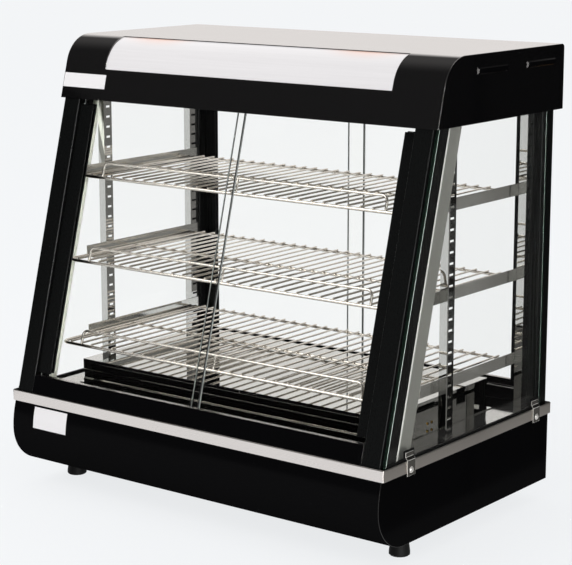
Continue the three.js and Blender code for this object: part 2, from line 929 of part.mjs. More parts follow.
// The slotted channel, its plain face to the front and its open side to the rear.
function makePilaster() {
  const height = ceilingBottom - seatGap;
  const sheet = pilasterSheet;
  const section = outline([
    [0, 0],
    [pilasterWidth, 0],
    [pilasterWidth, pilasterDepth],
    [pilasterWidth - sheet, pilasterDepth],
    [pilasterWidth - sheet, sheet],
    [sheet, sheet],
    [sheet, pilasterDepth],
    [0, pilasterDepth],
  ]);
  const slots = [];
  for (let z = deckTop + slotFirst; z < height - slotPitch / 2; z += slotPitch) {
    const y = pilasterDepth / 2;
    const low = [-cutOverrun, y - slotLength / 2, z - slotHeight / 2];
    const high = [pilasterWidth + cutOverrun, y + slotLength / 2, z + slotHeight / 2];
    slots.push(block(low, high));
  }
  return cut(alongZ(section, standZ, height), ...slots);
}

// An S-bent clip with its screw's domed head.
function makeClip() {
  const [low, high] = [deckTop - clipDrop, deckTop + clipRise];
  const outside = halfDeck + seatGap;
  const onGlass = glassOuter + seatGap;
  const bendFrom = deckTop + clipStep;
  const section = outline([
    [outside, low],
    [outside + clipSheet, low],
    [outside + clipSheet, bendFrom],
    [onGlass + clipSheet, bendFrom + clipBend],
    [onGlass + clipSheet, high],
    [onGlass, high],
    [onGlass, bendFrom + clipBend],
    [outside, bendFrom],
  ]);
  const strip = alongY(section, -clipWidth / 2, clipWidth / 2);
  const head = revolved([
    [0, -clipSheet / 2],
    [clipScrewRadius, -clipSheet / 2],
    ...domeProfile(clipScrewRadius, 0, clipScrewRise),
  ]);
  head.rotateZ(-Math.PI / 2).translate(outside + clipSheet, 0, deckTop - clipScrewDrop);
  return join(strip, head);
}

function addFrame(parent) {
  const frontPosts = leaned(makePost());
  const rearPosts = makePost().translate(0, rearPostFront, 0);
  addPair("front_post", frontPosts, "blackPaint", parent);
  addPair("rear_post", rearPosts, "blackPaint", parent);
  addPair("side_glass", makeSideGlass(), "glass", parent);
  addPair("side_plate", makeSidePlate(), "stainless", parent);
  const pilaster = makePilaster();
  const clip = makeClip();
  const ends = [
    ["front", frontPilasterY, frontClipFromFront],
    ["rear", rearPilasterY, deckDepth - rearClipFromRear],
  ];
  for (const [end, pilasterY, clipY] of ends) {
    for (const [sideName, side] of sides) {
      const channel = addPiece(`pilaster_${end}_${sideName}`, pilaster, "mirrorSteel", parent);
      channel.position.set(side * pilasterInner, pilasterY, 0);
      channel.scale.x = side;
      const holder = addPiece(`glass_clip_${end}_${sideName}`, clip, "stainless", parent);
      holder.position.y = clipY;
      holder.scale.x = side;
    }
  }
}

// The track's section as [y, z] from its outer face and its foot: a lip, two grooves and two ribs.
function trackSection(lip, rib) {
  const half = paneThickness / 2 + grooveClearance;
  const first = grooveOffset - half;
  const second = grooveOffset + groovePitch - half;
  const width = 2 * half;
  const middle = (first + width + second) / 2;
  const wall = trackWall;
  return [
    [0, 0],
    [wall, 0],
    [wall, lip - wall],
    [first - wall, lip - wall],
    [first - wall, 0],
    [middle - wall / 2, 0],
    [middle - wall / 2, rib - wall],
    [middle + wall / 2, rib - wall],
    [middle + wall / 2, 0],
    [trackDepth, 0],
    [trackDepth, rib],
    [second + width, rib],
    [second + width, trackFloor],
    [second, trackFloor],
    [second, rib],
    [first + width, rib],
    [first + width, trackFloor],
    [first, trackFloor],
    [first, lip],
    [0, lip],
  ];
}

function makeBottomTrack() {
  const section = trackSection(bottomTrackLip, bottomTrackRib);
  const half = postInner - seatGap;
  return alongX(outline(section.map(([y, z]) => [y, standZ + z])), -half, half);
}

function makeTopTrack() {
  const top = windowBottom - diffuserLap - seatGap;
  const height = top - canopyBottom - topTrackDrop;
  const section = trackSection(height, height);
  const half = postInner - seatGap;
  return alongX(outline(section.map(([y, z]) => [y, top - z]).reverse()), -half, half);
}

// Turns a piece made against the front plane into its upright copy on the rear plane.
function onRear(geometry) {
  return geometry.rotateZ(Math.PI).translate(0, rearPlane, 0);
}

function makePane(groove) {
  const middle = grooveOffset + groove * groovePitch;
  const bottom = standZ + trackFloor + seatGap;
  const top = canopyBottom + paneTopLap;
  const low = [-paneOverlap / 2, middle - paneThickness / 2, bottom];
  const high = [paneOuter, middle + paneThickness / 2, top];
  return block(low, high);
}

// An edge profile slipped over the pane's outer edge, which is also the door's pull.
function makePull(groove, width) {
  const middle = grooveOffset + groove * groovePitch;
  const half = pullThickness / 2;
  const slot = paneThickness / 2 + seatGap;
  const [inner, floor] = [pullOuter - width, paneOuter + seatGap];
  const section = outline([
    [inner, middle - half],
    [pullOuter, middle - half],
    [pullOuter, middle + half],
    [inner, middle + half],
    [inner, middle + slot],
    [floor, middle + slot],
    [floor, middle - slot],
    [inner, middle - slot],
  ]);
  const bottom = standZ + bottomTrackLip + pullBottomGap;
  return alongZ(section, bottom, canopyBottom - pullTopGap);
}

function addDoors(parent) {
  addPiece("front_track_bottom", leaned(makeBottomTrack()), "blackPaint", parent);
  addPiece("front_track_top", leaned(makeTopTrack()), "blackPaint", parent);
  addPiece("rear_track_bottom", onRear(makeBottomTrack()), "blackPaint", parent);
  addPiece("rear_track_top", onRear(makeTopTrack()), "blackPaint", parent);
  for (const [sideName, side] of sides) {
    const groove = side < 0 ? 0 : 1;
    const front = [
      [`front_door_glass_${sideName}`, leaned(makePane(groove)), "glass"],
      [`front_door_pull_${sideName}`, leaned(makePull(groove, frontPullWidth)), "blackPlastic"],
    ];
    for (const [name, geometry, finish] of front) {
      addPiece(name, geometry, finish, parent).scale.x = side;
    }
    const rear = [
      [`rear_door_glass_${sideName}`, onRear(makePane(groove)), "glass"],
      [`rear_door_pull_${sideName}`, onRear(makePull(groove, rearPullWidth)), "blackPlastic"],
    ];
    for (const [name, geometry, finish] of rear) {
      addPiece(name, geometry, finish, parent).scale.x = -side;
    }
  }
}

// Heights of the pilaster slots that the shelf rails hook into.
function railLevels() {
  const space = ceilingBottom - deckTop;
  return shelfShares.map((share) => {
    const slot = Math.round((share * space - slotFirst) / slotPitch);
    return deckTop + slotFirst + slot * slotPitch;
  });
}

// An angle rail about the height of its slots, with a hook for each pilaster.
function makeRail() {
  const bottom = -railDrop;
  const section = outline([
    [railInner - railFlange, bottom],
    [railOuter, bottom],
    [railOuter, bottom + railHeight],
    [railInner, bottom + railHeight],
    [railInner, bottom + railSheet],
    [railInner - railFlange, bottom + railSheet],
  ]);
  const front = frontPilasterY - railFrontReach;
  const angle = alongY(section, front, rearPostFront - seatGap);
  const hookTop = slotHeight / 2 - seatGap;
  const hooks = [frontPilasterY, rearPilasterY].map((y) => {
    const middle = y + pilasterDepth / 2;
    const low = [railInner, middle - hookLength / 2, -hookTop];
    const high = [pilasterInner + pilasterSheet + hookReach, middle + hookLength / 2, hookTop];
    return block(low, high);
  });
  return join(angle, ...hooks);
}

// A welded wire shelf about its frame rod's height, with a raised guard that leans with the doors.
function makeShelf(front, rear) {
  const half = railInner - shelfSideGap - shelfRodRadius;
  const corner = shelfCornerRadius;
  const frame = rod([[-half, rear, 0], [-half, front, 0], [half, front, 0], [half, rear, 0]],
    shelfRodRadius, corner, rodSides);
  const back = rear - shelfRodRadius;
  const rearRod = rod([[-half, back, 0], [half, back, 0]], shelfSupportRadius, corner, rodSides);
  const middle = (front + rear) / 2;
  const support = rod([[-half, middle, 0], [half, middle, 0]], shelfSupportRadius, corner, rodSides);
  const wireZ = shelfRodRadius + shelfWireRadius - shelfWeld;
  const count = Math.floor((2 * half) / shelfWirePitch);
  const spacing = (2 * half) / count;
  const wires = [];
  for (let i = 1; i < count; i += 1) {
    const x = i * spacing - half;
    wires.push(rod([[x, front, wireZ], [x, rear, wireZ]], shelfWireRadius, corner, wireSides));
  }
  const end = half - guardWires * spacing;
  const lift = front + slope * guardRise;
  const rail = rod([[-end, front, 0], [-end, lift, guardRise], [end, lift, guardRise], [end, front, 0]],
    guardRadius, guardBendRadius, wireSides);
  const stub = rod([[0, front, 0], [0, lift, guardRise]], shelfWireRadius, corner, wireSides);
  return join(frame, rearRod, support, rail, stub, ...wires);
}

function addShelves(parent) {
  const rail = makeRail();
  const doorRear = grooveOffset + groovePitch + pullThickness / 2;
  const rear = rearPostFront - shelfRearGap;
  railLevels().forEach((level, i) => {
    const rodZ = level - railDrop + railSheet + seatGap + shelfRodRadius;
    const behindDoors = frontPlane(rodZ) + doorRear + shelfDoorGap + shelfRodRadius;
    const front = Math.max(behindDoors, shelfFrontLimit);
    for (const [sideName, side] of sides) {
      const angle = addPiece(`shelf_rail_${shelfNames[i]}_${sideName}`, rail, "stainless", parent);
      angle.position.z = level;
      angle.scale.x = side;
    }
    const shelf = addPiece(`wire_shelf_${shelfNames[i]}`, makeShelf(front, rear), "chrome", parent);
    shelf.position.z = rodZ;
  });
}

// Centre of the canopy's front curve, which runs on from the leaning front.
const canopySkin = seatGap + canopySheet / Math.cos(lean);
const curveZ = canopyTop - canopyRadius;
const tangentZ = curveZ + canopyRadius * Math.sin(lean);
const curveY = frontPlane(tangentZ) - canopySkin + canopyRadius * Math.cos(lean);

// The canopy's side outline, drawn in from its outer face by an inset.
function canopySection(inset) {
  const bottom = canopyBottom - (inset > 0 ? cutOverrun : 0);
  const front = frontPlane(bottom) - canopySkin + inset / Math.cos(lean);
  const rearRadius = canopyRearRadius;
  const shape = new THREE.Shape();
  shape.moveTo(canopyRear - inset, bottom);
  shape.lineTo(canopyRear - inset, canopyTop - rearRadius);
  shape.absarc(canopyRear - rearRadius, canopyTop - rearRadius, rearRadius - inset, 0, Math.PI / 2);
  shape.absarc(curveY, curveZ, canopyRadius - inset, Math.PI / 2, Math.PI - lean);
  shape.lineTo(front, bottom);
  return shape;
}

// A louvre's hood on the side wall's outer face, drawn in all round as a press leaves it.
function pressedHood() {
  const root = canopySheet / 2;
  const size = [louvreRise + root, louvreLength, louvreHeight];
  const pad = new THREE.BoxGeometry(...size).translate(size[0] / 2 - root, 0, 0);
  const places = pad.getAttribute("position");
  for (let i = 0; i < places.count; i += 1) {
    if (places.getX(i) > 0) {
      places.setY(i, places.getY(i) - Math.sign(places.getY(i)) * louvreRise);
      places.setZ(i, places.getZ(i) - Math.sign(places.getZ(i)) * louvreRise);
    }
  }
  return pad;
}

// What is taken from a hood and the wall behind it, so that it opens inwards and downwards.
function hoodHollow() {
  const wall = 2 * canopySheet;
  return block(
    [-canopySheet - cutOverrun, wall - louvreLength / 2, -louvreHeight / 2],
    [louvreRise - canopySheet, louvreLength / 2 - wall, louvreHeight / 2 - wall],
  );
}

function makeCanopy() {
  const outer = alongX(canopySection(0), -halfCanopy, halfCanopy);
  const inner = alongX(canopySection(canopySheet), canopySheet - halfCanopy, halfCanopy - canopySheet);
  const hoods = [];
  const hollows = [];
  for (const [, side] of sides) {
    const turn = side < 0 ? Math.PI : 0;
    for (const place of [0, 1]) {
      const y = canopyRear - louvreFromRear - place * louvrePitch;
      const z = canopyTop - louvreDrop;
      hoods.push(pressedHood().rotateZ(turn).translate(side * halfCanopy, y, z));
      hollows.push(hoodHollow().rotateZ(turn).translate(side * halfCanopy, y, z));
    }
  }
  const window = block(
    [-halfWindow, -cutOverrun, windowBottom],
    [halfWindow, curveY - windowRearInset, canopyTop + cutOverrun],
  );
  return cut(join(cut(outer, inner), ...hoods), window, ...hollows);
}

function makeDiffuser() {
  const half = halfWindow + diffuserLap;
  const outside = canopySheet + seatGap;
  const outer = alongX(canopySection(outside), -half, half);
  const inner = alongX(canopySection(outside + diffuserThickness), -half - cutOverrun, half + cutOverrun);
  const kept = block(
    [-half - cutOverrun, -cutOverrun, windowBottom - diffuserLap],
    [half + cutOverrun, curveY - windowRearInset + diffuserLap, canopyTop],
  );
  return common(cut(outer, inner), kept);
}

const lampY = curveY - windowRearInset + lampFromWindow;
const lampZ = ceilingBottom + ceilingSheet + lampRise;

function makeCeiling() {
  const top = ceilingBottom + ceilingFlange;
  const front = frontPlane(top) + postDepth + ceilingClearance;
  const rear = rearPostFront - ceilingClearance;
  const half = glassInner - ceilingClearance;
  const sheet = ceilingSheet;
  const pan = block([-half, front, ceilingBottom], [half, rear, top]);
  const hollow = block(
    [sheet - half, front + sheet, ceilingBottom + sheet],
    [half - sheet, rear - sheet, top + cutOverrun],
  );
  const passages = [];
  const openings = [];
  for (const [, side] of sides) {
    const inner = side * (sidePlateInner - ceilingClearance);
    const outer = side * (sidePlateOuter + ceilingClearance);
    const passageRear = sidePlateFront + sidePlateWidth + ceilingClearance;
    const low = [Math.min(inner, outer), sidePlateFront - ceilingClearance, standZ];
    passages.push(leaned(block(low, [Math.max(inner, outer), passageRear, frameTop])));
    const [x, halfX, halfY] = [side * lampFromCentre, lightOpeningLength / 2, lightOpeningWidth / 2];
    openings.push(
      block(
        [x - halfX, lampY - halfY, ceilingBottom - cutOverrun],
        [x + halfX, lampY + halfY, ceilingBottom + cutOverrun],
      ),
    );
  }
  return cut(pan, hollow, ...passages, ...openings);
}

// A globe bulb on the x axis, its cap towards the holder.
function makeBulb() {
  const capEnd = bulbRadius + bulbNeckRadius + bulbCapLength;
  const capStart = bulbRadius + bulbNeckRadius;
  const profile = [[0, capEnd], [bulbCapRadius, capEnd], [bulbCapRadius, capStart]];
  const from = Math.asin(bulbNeckRadius / bulbRadius);
  for (let i = 0; i <= arcSteps; i += 1) {
    const angle = from + ((Math.PI - from) * i) / arcSteps;
    const radius = i === arcSteps ? 0 : bulbRadius * Math.sin(angle);
    profile.push([radius, bulbRadius * Math.cos(angle)]);
  }
  return revolved(profile.reverse()).rotateZ(-Math.PI / 2);
}

// A lamp holder on its bracket, standing on the ceiling panel.
function makeHolder() {
  const start = bulbRadius + bulbNeckRadius + seatGap;
  const end = start + holderLength;
  const bore = bulbCapRadius + seatGap;
  const socket = revolved([
    [bore, start],
    [holderRadius, start],
    [holderRadius, end],
    [0, end],
    [0, end - holderWall],
    [bore, end - holderWall],
    [bore, start],
  ]).rotateZ(-Math.PI / 2);
  const foot = seatGap - lampRise;
  const half = holderBracketWidth / 2;
  const leg = block([end - holderBracketSheet, -half, foot], [end, half, 0]);
  const shoe = block([end - holderFootLength, -half, foot], [end, half, foot + holderBracketSheet]);
  return join(socket, leg, shoe);
}

function addCanopy(parent) {
  addPiece("canopy_shell", makeCanopy(), "blackPaint", parent);
  addPiece("window_diffuser", makeDiffuser(), "diffuser", parent);
  addPiece("ceiling_panel", makeCeiling(), "stainless", parent);
  const bulb = makeBulb();
  const holder = makeHolder();
  for (const [sideName, side] of sides) {
    const lamp = new THREE.Group();
    lamp.position.set(side * lampFromCentre, lampY, lampZ);
    lamp.scale.x = side;
    addPiece(`lamp_bulb_${sideName}`, bulb, "warmBulb", lamp);
    addPiece(`lamp_holder_${sideName}`, holder, "porcelain", lamp);
    parent.add(lamp);
  }
}

const cabinet = new THREE.Group();
cabinet.position.y = (baseNoseReach - canopyRear) / 2;
addFeet(cabinet);
addPiece("base_shell", makeBaseShell(), "blackPaint", cabinet);
addRearPanel(cabinet);
addDeck(cabinet);
addFrame(cabinet);
addDoors(cabinet);
addShelves(cabinet);
addCanopy(cabinet);

const warmer = new THREE.Group();
warmer.add(cabinet);

export default warmer;
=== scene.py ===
import json
import math

import bmesh
import bpy
from mathutils import Matrix, Vector
from mathutils.bvhtree import BVHTree

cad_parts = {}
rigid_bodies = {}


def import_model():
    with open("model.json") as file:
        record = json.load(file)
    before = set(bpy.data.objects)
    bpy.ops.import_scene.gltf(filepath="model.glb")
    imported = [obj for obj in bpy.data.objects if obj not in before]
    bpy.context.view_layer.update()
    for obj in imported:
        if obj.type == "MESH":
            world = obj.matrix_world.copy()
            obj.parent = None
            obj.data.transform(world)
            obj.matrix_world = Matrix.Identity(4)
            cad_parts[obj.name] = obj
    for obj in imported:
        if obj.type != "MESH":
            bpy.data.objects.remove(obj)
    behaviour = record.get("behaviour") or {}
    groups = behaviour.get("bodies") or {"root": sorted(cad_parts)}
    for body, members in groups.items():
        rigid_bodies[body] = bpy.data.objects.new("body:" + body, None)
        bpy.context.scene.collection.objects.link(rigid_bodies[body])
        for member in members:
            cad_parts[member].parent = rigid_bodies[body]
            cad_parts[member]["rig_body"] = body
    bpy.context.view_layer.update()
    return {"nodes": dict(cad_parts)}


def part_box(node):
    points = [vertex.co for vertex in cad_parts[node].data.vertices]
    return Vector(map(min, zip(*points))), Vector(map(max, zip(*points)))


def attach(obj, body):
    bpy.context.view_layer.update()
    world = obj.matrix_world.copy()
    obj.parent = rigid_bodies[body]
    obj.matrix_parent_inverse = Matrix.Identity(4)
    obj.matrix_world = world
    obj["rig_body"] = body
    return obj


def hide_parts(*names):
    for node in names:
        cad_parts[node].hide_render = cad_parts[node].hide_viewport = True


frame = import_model()
nodes = frame["nodes"]
scene = bpy.context.scene
scene.view_settings.view_transform = "Standard"
mm = 0.001
lean = math.radians(15)  # the front leans back by this much
sides = {"left": -1, "right": 1}
ends = ("front", "rear")
levels = ("lower", "middle", "upper")


def hexColour(value):
    # sRGB hex to the linear values that sockets take
    channels = [((value >> shift) & 255) / 255 for shift in (16, 8, 0)]
    linear = [c / 12.92 if c <= 0.04045 else ((c + 0.055) / 1.055) ** 2.4 for c in channels]
    return (*linear, 1.0)


def addNode(tree, kind, settings=None, links=None):
    node = tree.nodes.new(kind)
    for name, value in (settings or {}).items():
        if isinstance(name, int) or name in node.inputs:
            node.inputs[name].default_value = value
        else:
            setattr(node, name, value)
    for name, source in (links or {}).items():
        tree.links.new(source, node.inputs[name])
    return node


def emptyMaterial(name):
    material = bpy.data.materials.new(name)
    material.use_nodes = True
    material.node_tree.nodes.clear()
    return material, material.node_tree


def startMaterial(name, settings):
    # a new material with its Principled shader on the output
    material, tree = emptyMaterial(name)
    shader = addNode(tree, "ShaderNodeBsdfPrincipled", settings)
    output = addNode(tree, "ShaderNodeOutputMaterial", links={"Surface": shader.outputs[0]})
    return material, tree, shader, output


def stretchedNoise(tree, size, detail=3.0):
    # noise on object coordinates whose grain is this long on each axis, in millimetres
    place = addNode(tree, "ShaderNodeTexCoord")
    scaled = addNode(tree, "ShaderNodeMapping", {"Scale": [1 / (s * mm) for s in size]},
                     {"Vector": place.outputs["Object"]})
    return addNode(tree, "ShaderNodeTexNoise", {"Scale": 1.0, "Detail": detail},
                   {"Vector": scaled.outputs[0]})


def makeFinish(name, look):
    # a plain finish, whose grain may vary its shine and raise its surface
    material, tree, shader, _ = startMaterial(name, {
        "Base Color": hexColour(look["colour"]), "Roughness": look["roughness"],
        "Metallic": look.get("metallic", 0.0), **look.get("more", {})})
    grain = stretchedNoise(tree, look["grainMm"], look.get("detail", 3.0))
    if "shine" in look:
        less, more = look["shine"]
        shine = addNode(tree, "ShaderNodeMapRange", {
            "To Min": look["roughness"] - less, "To Max": look["roughness"] + more},
            {"Value": grain.outputs[0]})
        tree.links.new(shine.outputs[0], shader.inputs["Roughness"])
    if "raised" in look:
        bump = addNode(tree, "ShaderNodeBump", {
            "Strength": look["raised"], "Distance": look["depthMm"] * mm},
            {"Height": grain.outputs[0]})
        tree.links.new(bump.outputs[0], shader.inputs["Normal"])
    return material


# Semi-gloss powder coat, sprayed and baked on folded sheet: deep black face on, a fine orange
# peel, and a pale mirror of the room where it is seen along the surface. The gloss is its mirror
# share face on.
powderCoatLook = {
    "colour": 0x060607, "roughness": 0.4, "mirror": 0xFFFCFA, "mirrorRoughness": (0.12, 0.2),
    "peelMm": 1.6, "peel": 0.05, "peelDepthMm": 0.2, "patchMm": 90, "patchDetail": 2.0,
    "sheen": 0.78, "sheenFrom": 0.6, "sheenTo": 0.84, "upFrom": 0.1, "upTo": 0.6,
    "gloss": {"sheet": 0.003, "canopy": 0.045, "louvre": 0.009, "fold": 0.3, "edge": 0.07},
}


def makePowderCoat(name, look, gloss):
    material, tree, shader, output = startMaterial(name, {
        "Base Color": hexColour(look["colour"]), "Roughness": look["roughness"],
        "Specular IOR Level": 0.0})
    peel = stretchedNoise(tree, [look["peelMm"]] * 3)
    bump = addNode(tree, "ShaderNodeBump", {
        "Strength": look["peel"], "Distance": look["peelDepthMm"] * mm},
        {"Height": peel.outputs[0]})
    tree.links.new(bump.outputs[0], shader.inputs["Normal"])
    patches = stretchedNoise(tree, [look["patchMm"]] * 3, look["patchDetail"])
    smoothest, dullest = look["mirrorRoughness"]
    dulled = addNode(tree, "ShaderNodeMapRange", {"To Min": smoothest, "To Max": dullest},
                     {"Value": patches.outputs[0]})
    facing = addNode(tree, "ShaderNodeLayerWeight", {"Blend": 0.5})
    ramp = addNode(tree, "ShaderNodeMapRange", {
        "interpolation_type": "SMOOTHSTEP", "From Min": look["sheenFrom"],
        "From Max": look["sheenTo"], "To Min": 0.0, "To Max": look["sheen"]},
        {"Value": facing.outputs["Facing"]})
    # the sheen is kept to what faces up: on downward faces the pale floor's reflection is left out,
    # as painted shade
    shape = addNode(tree, "ShaderNodeNewGeometry")
    parts = addNode(tree, "ShaderNodeSeparateXYZ", links={0: shape.outputs["Normal"]})
    upward = addNode(tree, "ShaderNodeMapRange", {
        "From Min": look["upFrom"], "From Max": look["upTo"]}, {"Value": parts.outputs["Z"]})
    sheen = addNode(tree, "ShaderNodeMath", {"operation": "MULTIPLY"},
                    {0: ramp.outputs[0], 1: upward.outputs[0]})
    share = addNode(tree, "ShaderNodeMath", {"operation": "MAXIMUM", 1: look["gloss"][gloss]},
                    {0: sheen.outputs[0]})
    mirror = addNode(tree, "ShaderNodeBsdfGlossy", {"Color": hexColour(look["mirror"])},
                     {"Roughness": dulled.outputs[0], "Normal": bump.outputs[0]})
    both = addNode(tree, "ShaderNodeMixShader", links={
        0: share.outputs[0], 1: shader.outputs[0], 2: mirror.outputs[0]})
    tree.links.new(both.outputs[0], output.inputs["Surface"])
    return material


powderCoat = makePowderCoat("powderCoatedSteelSemiGloss", powderCoatLook, "sheet")
# The canopy is a little glossier.
canopyCoat = makePowderCoat("powderCoatedCanopy", powderCoatLook, "canopy")
# On its pressed louvres the mirror share is lowered: a painted shade that dims their highlights.
louvreCoat = makePowderCoat("powderCoatLouvreDimmed", powderCoatLook, "louvre")
# Its long folds take a far larger mirror share: a painted highlight along each fold.
foldCoat = makePowderCoat("powderCoatFoldHighlight", powderCoatLook, "fold")
# Over a cut edge the mirror share is raised too: a painted highlight, so the edge catches the
# light.
powderCoatEdge = makePowderCoat("powderCoatEdgeHighlight", powderCoatLook, "edge")

# Black anodised aluminium extrusion: the die leaves faint lines along its length.
extrusionLook = {
    "colour": 0x0A0B0B, "roughness": 0.28, "more": {"Specular IOR Level": 0.12},
    "grainMm": (1.2, 1.2, 400), "shine": (0.1, 0.12), "raised": 0.06, "depthMm": 0.2,
}
extrusion = makeFinish("blackAnodisedExtrusion", extrusionLook)


def brushed(colour, roughness, grainMm, scratch, metallic=1.0):
    # belt-brushed or rolled metal: the same scratches dull the shine and raise the surface
    return {"colour": colour, "roughness": roughness, "metallic": metallic, "grainMm": grainMm,
            "detail": 5.0, "shine": (scratch / 2, scratch), "raised": scratch, "depthMm": 0.1}


# Stainless sheet, belt brushed along its length: the scratches are about 0.1 mm apart on the real
# one and are drawn a millimetre apart so that they show.
brushedAlong = makeFinish(
    "brushedStainlessAlongX", brushed(0xE2DCD8, 0.22, (70, 1.2, 1.2), 0.12))
skirtSide = makeFinish("brushedStainlessSkirtEnd", brushed(0xD2CCC6, 0.3, (1.5, 90, 1.5), 0.06))
brushedTall = makeFinish("brushedStainlessUpright", brushed(0xC0C0BA, 0.3, (1, 1, 80), 0.05, 0.86))
# Sheared edges and the hem are given a pale, partly matt colour: a painted highlight that shows
# them as bright lines.
sheetEdge = makeFinish("stainlessEdgeHighlight", brushed(0xF4F2EC, 0.3, (3, 3, 3), 0.1, 0.5))
hemSteel = makeFinish("stainlessHemHighlight", brushed(0xFFFDF8, 0.25, (2, 2, 60), 0.06, 0.15))
# The deck's top is rubbed much finer than its skirt.
polishedTop = makeFinish("satinStainlessDeckTop", brushed(0xB9B8B5, 0.07, (70, 1.2, 1.2), 0.03))
ceilingSteel = makeFinish("brushedStainlessCeiling", brushed(0xC9C8C4, 0.32, (60, 1, 1), 0.16))
# Shelf rails: bright-rolled strip, folded, still nearly a mirror.
railSteel = makeFinish("brightRolledStainlessRail", brushed(0xDCDCD8, 0.1, (1.5, 60, 1.5), 0.04))
# Spring clips: rolled stainless strip, barrel polished, each with a bright nickel-plated screw.
clipSteel = makeFinish("tumbledStainlessClip", brushed(0x8E8C87, 0.14, (4, 4, 4), 0.06))
screwNickel = makeFinish("nickelPlatedScrewHead", brushed(0xF2EFE9, 0.2, (1, 1, 1), 0.1, 0.6))

# Stainless polished to a mirror: clean reflections with the faint waviness of thin sheet.
mirrorLook = {
    "colour": 0xC9C9C6, "roughness": 0.0, "metallic": 1.0,
    "grainMm": (120, 120, 120), "detail": 1.0, "raised": 0.02, "depthMm": 1.0,
}
mirrorSteel = makeFinish("mirrorPolishedStainless", mirrorLook)

# Nickel-plated welded wire: bright, with a warm cast, and duller in patches round the welds.
wireLook = {
    "colour": 0xEBE5DC, "roughness": 0.12, "metallic": 1.0,
    "grainMm": (6, 6, 6), "shine": (0.06, 0.12),
}
platedWire = makeFinish("nickelPlatedWire", wireLook)

# Float glass, clear and nearly colourless face on. Its reflections are toned down, with an IOR
# below glass's 1.5, to be as faint as in a light tent. Lamps and daylight pass through it.
glassLook = {"tint": 0xFFFFFE, "shade": 0xF4F6F5, "reflection": 0x585858, "ior": 1.3}


def makeGlass(look):
    material, tree, shader, output = startMaterial("clearFloatGlass", {
        "Base Color": hexColour(look["tint"]), "Roughness": 0.0, "IOR": look["ior"],
        "Transmission Weight": 1.0, "Specular Tint": hexColour(look["reflection"])})
    path = addNode(tree, "ShaderNodeLightPath")
    through = addNode(tree, "ShaderNodeBsdfTransparent", {"Color": hexColour(look["shade"])})
    either = addNode(tree, "ShaderNodeMath", {"operation": "MAXIMUM"},
                     {0: path.outputs["Is Shadow Ray"], 1: path.outputs["Is Diffuse Ray"]})
    both = addNode(tree, "ShaderNodeMixShader", links={
        0: either.outputs[0], 1: shader.outputs[0], 2: through.outputs[0]})
    tree.links.new(both.outputs[0], output.inputs["Surface"])
    return material


floatGlass = makeGlass(glassLook)

# The pane's sawn edge, polished: seen end on, the whole pane's green gathers in it.
glassEdgeLook = {
    "colour": 0x0F1F17, "roughness": 0.12, "more": {"IOR": 1.45},
    "grainMm": (3, 3, 60), "raised": 0.08, "depthMm": 0.3,
}
glassEdge = makeFinish("polishedGlassEdge", glassEdgeLook)
# The arris beside it is ground matt and catches the light as a pale line.
arrisLook = {
    "colour": 0x4F7563, "roughness": 0.35, "more": {"IOR": 1.45},
    "grainMm": (1, 1, 1), "raised": 0.2, "depthMm": 0.2,
}
groundEdge = makeFinish("groundGlassArris", arrisLook)

# Opal acrylic, extruded and heat bent. The light of the lamps behind it is painted in as its own
# glow: even white with a painted warm patch before each lamp, and faint lines along the sheet from
# the die that drew it.
opalLook = {
    "base": 0x8A8888, "roughness": 0.22, "glowing": 0.6, "whites": (0xE2E0E2, 0xF3F1F3),
    "warm": 0xFF9E5A, "lampAt": (0.18, -0.036, 0.655), "reach": 0.04, "narrow": 0.42,
    "warmth": 0.6, "streakMm": (160, 2.5, 2.5),
}


def makeOpal(look):
    material, tree, shader, _ = startMaterial("opalAcrylicDiffuser", {
        "Base Color": hexColour(look["base"]), "Roughness": look["roughness"],
        "Emission Strength": look["glowing"]})
    place = addNode(tree, "ShaderNodeTexCoord")
    # squeezed along x, so each round glow comes out as a wide one
    squeezed = addNode(tree, "ShaderNodeMapping", {"Scale": (look["narrow"], 1, 1)},
                       {"Vector": place.outputs["Object"]})
    x, y, z = look["lampAt"]
    glows = []
    for sign in sides.values():
        away = addNode(tree, "ShaderNodeVectorMath", {
            "operation": "DISTANCE", 1: (sign * x * look["narrow"], y, z)},
            {0: squeezed.outputs[0]})
        glows.append(addNode(tree, "ShaderNodeMapRange", {
            "interpolation_type": "SMOOTHERSTEP", "From Min": 0.0, "From Max": look["reach"],
            "To Min": look["warmth"], "To Max": 0.0}, {"Value": away.outputs["Value"]}))
    glow = addNode(tree, "ShaderNodeMath", {"operation": "MAXIMUM"},
                   {0: glows[0].outputs[0], 1: glows[1].outputs[0]})
    lines = stretchedNoise(tree, look["streakMm"])
    darker, paler = look["whites"]
    white = addNode(tree, "ShaderNodeMix", {
        "data_type": "RGBA", 6: hexColour(darker), 7: hexColour(paler)}, {0: lines.outputs[0]})
    colour = addNode(tree, "ShaderNodeMix", {"data_type": "RGBA", 7: hexColour(look["warm"])},
                     {0: glow.outputs[0], 6: white.outputs[2]})
    tree.links.new(colour.outputs[2], shader.inputs["Emission Color"])
    return material


opalAcrylic = makeOpal(opalLook)


def grained(colour, roughness, grain, raised, metallic=0.0, more=None):
    # moulded, cast or plated: one fine grain all round, in millimetres
    return {"colour": colour, "roughness": roughness, "grainMm": (grain, grain, grain),
            "raised": raised, "depthMm": 0.2, "metallic": metallic, "more": more or {}}


def lit(colour, strength):
    return {"Emission Color": hexColour(colour), "Emission Strength": strength}


# Moulded plastics and rubber have a fine spark-eroded grain from the tool, and lenses are smooth.
nylon = makeFinish("mouldedBlackNylon", grained(
    0x141414, 0.42, 0.9, 0.15, more={"Specular IOR Level": 0.3}))
rubber = makeFinish("mouldedRubber", grained(
    0x080808, 0.62, 1.5, 0.25, more={"Specular IOR Level": 0.12}))
amberLens = makeFinish("amberPolycarbonateLens", grained(
    0xD9771A, 0.12, 4, 0.05, more=lit(0xFF8A20, 0.25)))
redLens = makeFinish("redPolycarbonateRocker", grained(
    0xA81A12, 0.2, 3, 0.05, more=lit(0xD0200F, 0.12)))
